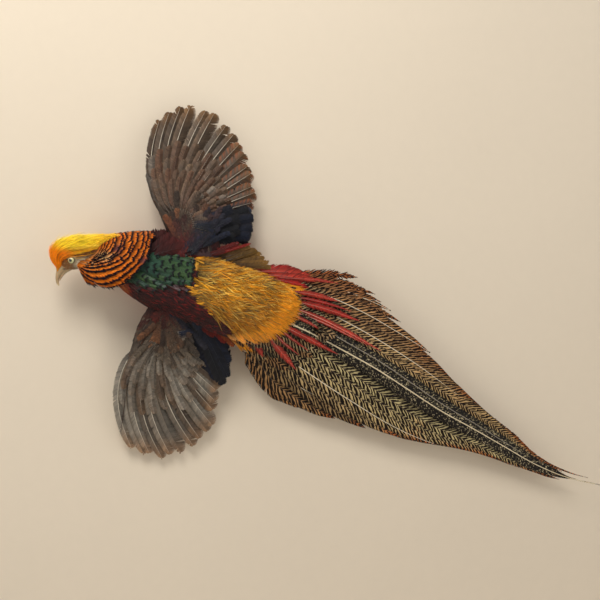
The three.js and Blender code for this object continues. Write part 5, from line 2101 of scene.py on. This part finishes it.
def browPart(rng):
    count = brow["count"]
    turn = rng.uniform(*brow["turn"], count)
    top = 1 - np.abs(turn) / brow["turn"][1]
    low, high = brow["along"]
    along = np.clip(low + (high - low) * rng.random(count) * (0.2 + 0.8 * top), 0, 1)
    stops = np.linspace(0, 1, 5)
    length = rng.uniform(*brow["length"], count) * mm
    surface = formSurface(formFrom(bill["upper"]))
    path, normals = layPaths(surface, turn, along, length, rng.normal(0, 0.02, count), brow["lay"], stops)
    reach = np.linalg.norm(path[:, -1:] - path[:, :1], axis=2, keepdims=True)
    shortening = np.minimum(1, brow["length"][1] * mm / np.maximum(reach, 1e-6))
    path = path[:, :1] + (path - path[:, :1]) * shortening
    base = painted(
        evenTone("crestFront", count), ("8a5a1c", rng.uniform(0, 0.6, count)), ("bareSkin", (1 - top) * 0.9),
    )
    tints = shaded(alongStops(base, stops), rng.normal(1, 0.12, count)[:, None] * (0.7 + 0.3 * stops))
    half = rng.uniform(*brow["width"], count)[:, None] / 2 * mm * lockShape(stops)
    roots = np.stack([0.2 + 0.4 * turn, 0.975 + 0.02 * along], -1)
    return lockStrips(path, normals, half, brow["thick"], 0.6, tints, roots, stops, brow["arch"])


def addMantle():
    rng = np.random.default_rng(41)
    pin = pinMaterial()
    capeVane = coatMaterial("capeVane", 0.55, lines=3.0, contrast=0.12, amount=0.25, specular=0.08)
    silk = coatMaterial("crestSilk", 0.42, lines=3.0, contrast=0.12, amount=0.25)
    sheen = coatMaterial("mantleSheen", 0.4, lines=0.0, contrast=0.0, amount=0.2)
    vane = coatMaterial("shoulderVane", 0.75, lines=0.0, contrast=0.0, amount=0.3)
    addPiece("cape_feathers", capeParts(rng), [capeVane], ("cape",))
    addPiece("crest_feathers", crestParts(rng) + [browPart(rng)], [silk], ("crest",))
    addPiece("mantle_feathers", mantleParts(rng), [sheen])
    addPiece("shoulder_long_feathers", shoulderFeatherParts(rng), [vane, pin])
    for side in ("left", "right"):
        addPiece(f"scapular_feathers_{side}", scapularParts(side, rng), [vane, pin])
        addPiece(f"blue_tertials_{side}", navyParts(side, rng), [vane, pin])


# The head's hard parts: eyes of glass and the bill.

bill = {
    "upper": [
        (-222, 62, 88.6, 5.8, 5.6), (-226, 62, 87.7, 6.3, 5.2), (-235, 62, 82.7, 5.4, 4.3),
        (-240.6, 62, 74, 3.0, 3.0), (-241.8, 62, 66.5, 1.9, 1.8), (-240.6, 62, 61.2, 0.6, 0.6),
    ],
    "lower": [
        (-219, 62, 84.6, 2.7, 4.6), (-223, 62, 83.2, 2.7, 4.4), (-230.5, 62, 79.2, 2.3, 3.4),
        (-235.8, 62, 73.6, 1.7, 2.4), (-238.2, 62, 69.6, 0.8, 1.1), (-239.0, 62, 67.8, 0.25, 0.35),
    ],
    "nostril": (-230, 84.6), "nostrilSize": (2.6, 1.1), "nostrilDepth": 1.1, "middle": 62, "ridge": 0.55,
    # Tones of the bill, paler towards the tip, then a dark tone painted into the nostril's hollow as shade.
    "tones": ("7c6844", "97805a", "b5a078", "2c1f12"),
}


def eyePart(side):
    centre, axis, across, up = eyeFrame(side)
    polar = np.radians(eye["polar"])[:, None]
    angle = 2 * np.pi * np.arange(40) / 40
    bulge = eye["radius"] * mm * (1 + 0.06 * np.exp(-(np.degrees(polar) / 40) ** 2))
    ring = across * np.cos(angle)[:, None] + up * np.sin(angle)[:, None]
    rings = centre + bulge[..., None] * (np.cos(polar)[..., None] * axis + np.sin(polar)[..., None] * ring)
    return tubePart(rings, np.array([tone(code) for code in eye["tones"]]))


def billPart(name):
    count, around = 56, 40
    form = formFrom(bill[name])
    rings = loftRings(form, count, around)
    along = np.linspace(0, 1, count)
    base, pale, paler, dark = bill["tones"]
    tint = painted(evenTone(base, count), (pale, rampOf(0.1, 0.5, along)), (paler, rampOf(0.6, 1.0, along)))
    if name == "lower":
        return tubePart(rings, tint)
    fold = (np.arange(around) / around + 0.5) % 1 - 0.5
    ridge = np.exp(-(fold / 0.055) ** 2)[None, :, None] * formFrame(form, along)[1][:, None]
    rings = rings + ridge * (bill["ridge"] * mm) * (1 - along[:, None, None] * 0.6)
    x, z = bill["nostril"]
    gaps = rings - np.array([x, 0, z]) * mm
    wide, tall = bill["nostrilSize"]
    hollow = np.exp(-((gaps[..., 0] / (wide * mm)) ** 2 + (gaps[..., 2] / (tall * mm)) ** 2) ** 2)
    rings[..., 1] -= np.sign(rings[..., 1] + bill["middle"] * mm) * hollow * bill["nostrilDepth"] * mm
    part = tubePart(rings, tint)
    # The nostril's hollow is painted dark: painted shade in the recess.
    part["tint"] = mixTone(part["tint"], dark, np.append(hollow, [0, 0]) * 0.9)
    return part


# Legs: scaled shanks folded back below the tail, with toes and claws. Tones are of skin, joints and claws.

legs = {
    "left": {"heel": (88.8, 18, -57.5), "ankle": (160, 16, -92)},
    "right": {"heel": (104.8, 18, -11.5), "ankle": (175, 16, -48)},
    "shank": ((0, 0.5, 1), (4.2, 2.9, 3.6)), "scutes": 17, "spurAt": 0.68, "claw": 7.5,
    "toes": ((-34, 34, 2.6), (-10, 46, 2.8), (14, 36, 2.6), (150, 17, 2.1)),
    "tones": ("a08a55", "8c7547", "2b231b"),
    "joints": (0, 0.35, 0.75, 1), "toeRise": (0, 1.2, -0.6, -4), "toeSize": (1.15, 1, 0.75, 0.25),
}


def tubeAlong(points, radii, colour, around, scales=0, depth=0.0, **chart):
    forward = unit(np.gradient(points, axis=0))
    side = unit(np.cross(forward, outward))
    up = np.cross(side, forward)
    angle = 2 * np.pi * np.arange(around) / around
    stops = np.linspace(0, 1, len(points))
    swell = 1 + depth * (((stops * scales) % 1)[:, None] - 0.5) * (0.6 + 0.4 * np.sin(angle)[None])
    spread = side[:, None] * np.cos(angle)[:, None] + up[:, None] * np.sin(angle)[:, None]
    rings = points[:, None] + spread * (radii[:, None] * swell)[..., None]
    tints = evenTone(colour, len(points)) if isinstance(colour, str) else colour
    return tubePart(rings, tints, **chart)


def legParts(side):
    heel, ankle = (wallPoint(legs[side][key]) for key in ("heel", "ankle"))
    skinTone, jointTone, clawTone = legs["tones"]
    trail = unit(ankle - heel)
    rows = 110
    t = np.linspace(-0.04, 1.03, rows)
    joints = (np.arange(rows) * legs["scutes"] / rows % 1 > 0.85).astype(float)
    tints = mixTone(evenTone(skinTone, rows), jointTone, joints)
    radii = np.interp(t, *legs["shank"]) * mm
    shank = tubeAlong(heel + (ankle - heel) * t[:, None], radii, tints, 18, legs["scutes"], 0.09)
    spurWay = unit(np.array([trail[2], -0.4, -trail[0]]))
    spur = heel + (ankle - heel) * legs["spurAt"] + spurWay * (np.linspace(1.5, 9.5, 12)[:, None] * mm)
    spurPart = tubeAlong(spur, np.linspace(1.9, 0.3, 12) * mm, jointTone, 10, box=(0.4, 0.4, 0.2, 0.2))
    toes, claws = [], []
    start = ankle + trail * 4 * mm
    share = np.linspace(0, 1, 60)
    heights = np.interp(share, legs["joints"], legs["toeRise"])
    for at, (turn, length, radius) in enumerate(legs["toes"]):
        angle = np.radians(turn)
        way = np.array([
            trail[0] * np.cos(angle) - trail[2] * np.sin(angle), 0,
            trail[0] * np.sin(angle) + trail[2] * np.cos(angle),
        ])
        path = start + way * (share * length * mm)[:, None] + outward * (heights * mm)[:, None]
        size = np.interp(share, legs["joints"], legs["toeSize"]) * radius * mm
        pads = size * (1 + 0.08 * np.sin(share * 18))
        split = 1 - legs["claw"] / length
        toe = share <= split + 0.06
        claw = share >= split - 0.02
        left = 0.02 + 0.24 * at
        toes.append(tubeAlong(path[toe], pads[toe], skinTone, 14, 12, 0.08, box=(left, 0.02, 0.2, 0.55)))
        clawSize = size[claw] * np.linspace(0.8, 0.35, claw.sum())
        claws.append(tubeAlong(path[claw], clawSize, clawTone, 12, box=(left, 0.62, 0.2, 0.34)))
    return [shank, spurPart], toes, claws


# The plate that hangs on the wall is brushed steel, with fine drawn lines and dull smears.
plate = {
    "node": "hanger_plate", "steel": "a9abad", "dull": "7d7c78", "roughness": 0.34,
    "lines": (40.0, 40.0, 2600.0),
}


def plateMaterial():
    material, tree, shader = newMaterial("brushedSteel", plate["roughness"], Metallic=1.0)
    where = addNode(tree, "ShaderNodeTexCoord").outputs["Object"]
    place = addNode(tree, "ShaderNodeMapping", Vector=where, Scale=plate["lines"]).outputs[0]
    drawn = addNode(tree, "ShaderNodeTexNoise", Vector=place, Scale=1.0, Detail=4).outputs[0]
    mottle = useGroup(tree, "mottle", Scale=90.0, Fleck=900.0, Amount=0.35)
    colour = blendNode(tree, drawn, tone(plate["dull"]), tone(plate["steel"]))
    feed(tree, multiplied(tree, colour, mottle["Shade"]), shader["Base Color"])
    add, _, multiply = sumsOf(tree)
    feed(tree, add(multiply(mottle["Mask"], 0.25), plate["roughness"] - 0.1), shader["Roughness"])
    addBump(tree, shader, drawn, 0.25, 0.0002)
    return material


def finishPlate():
    solid = bpy.data.objects[plate["node"]]
    steel = plateMaterial()
    if not solid.material_slots:
        solid.data.materials.append(steel)
    for slot in solid.material_slots:
        slot.material = steel


def addHardParts():
    glass = mottledMaterial(
        "glassEye", 0.06, (1400.0, 4000.0, 0.35), (0.02, 0.0001), Coat_Weight=1.0, Coat_Roughness=0.02,
    )
    horn = mottledMaterial(
        "horn", 0.38, (260.0, 1600.0, 0.35), (0.35, 0.0003), Subsurface_Weight=0.06, Coat_Weight=0.15,
    )
    scaly = mottledMaterial(
        "legScales", 0.45, (200.0, 1500.0, 0.4), (0.5, 0.0004), cells=620, Coat_Weight=0.1,
    )
    for side, name in ((1, "left"), (-1, "right")):
        addPiece(f"glass_eye_{name}", [eyePart(side)], [glass], (f"eye_{name}",), smooth=True)
    for name in ("upper", "lower"):
        addPiece(f"{name}_bill", [billPart(name)], [horn], (f"bill_{name}",), smooth=True)
    for side in ("left", "right"):
        shank, toes, claws = legParts(side)
        addPiece(f"scaled_shank_{side}", shank, [scaly], (f"shank_{side}",), smooth=True)
        addPiece(f"scaled_toes_{side}", toes, [scaly], (f"foot_{side}",), smooth=True)
        addPiece(f"claws_{side}", claws, [horn], smooth=True)


works = {
    "skin": addSkin, "coats": addCoats, "wings": addWings, "tail": addTail,
    "cape, crest and mantle": addMantle, "eyes, bill and legs": addHardParts, "hanger plate": finishPlate,
}
for name, work in works.items():
    work()
    print(f"done with the {name}")
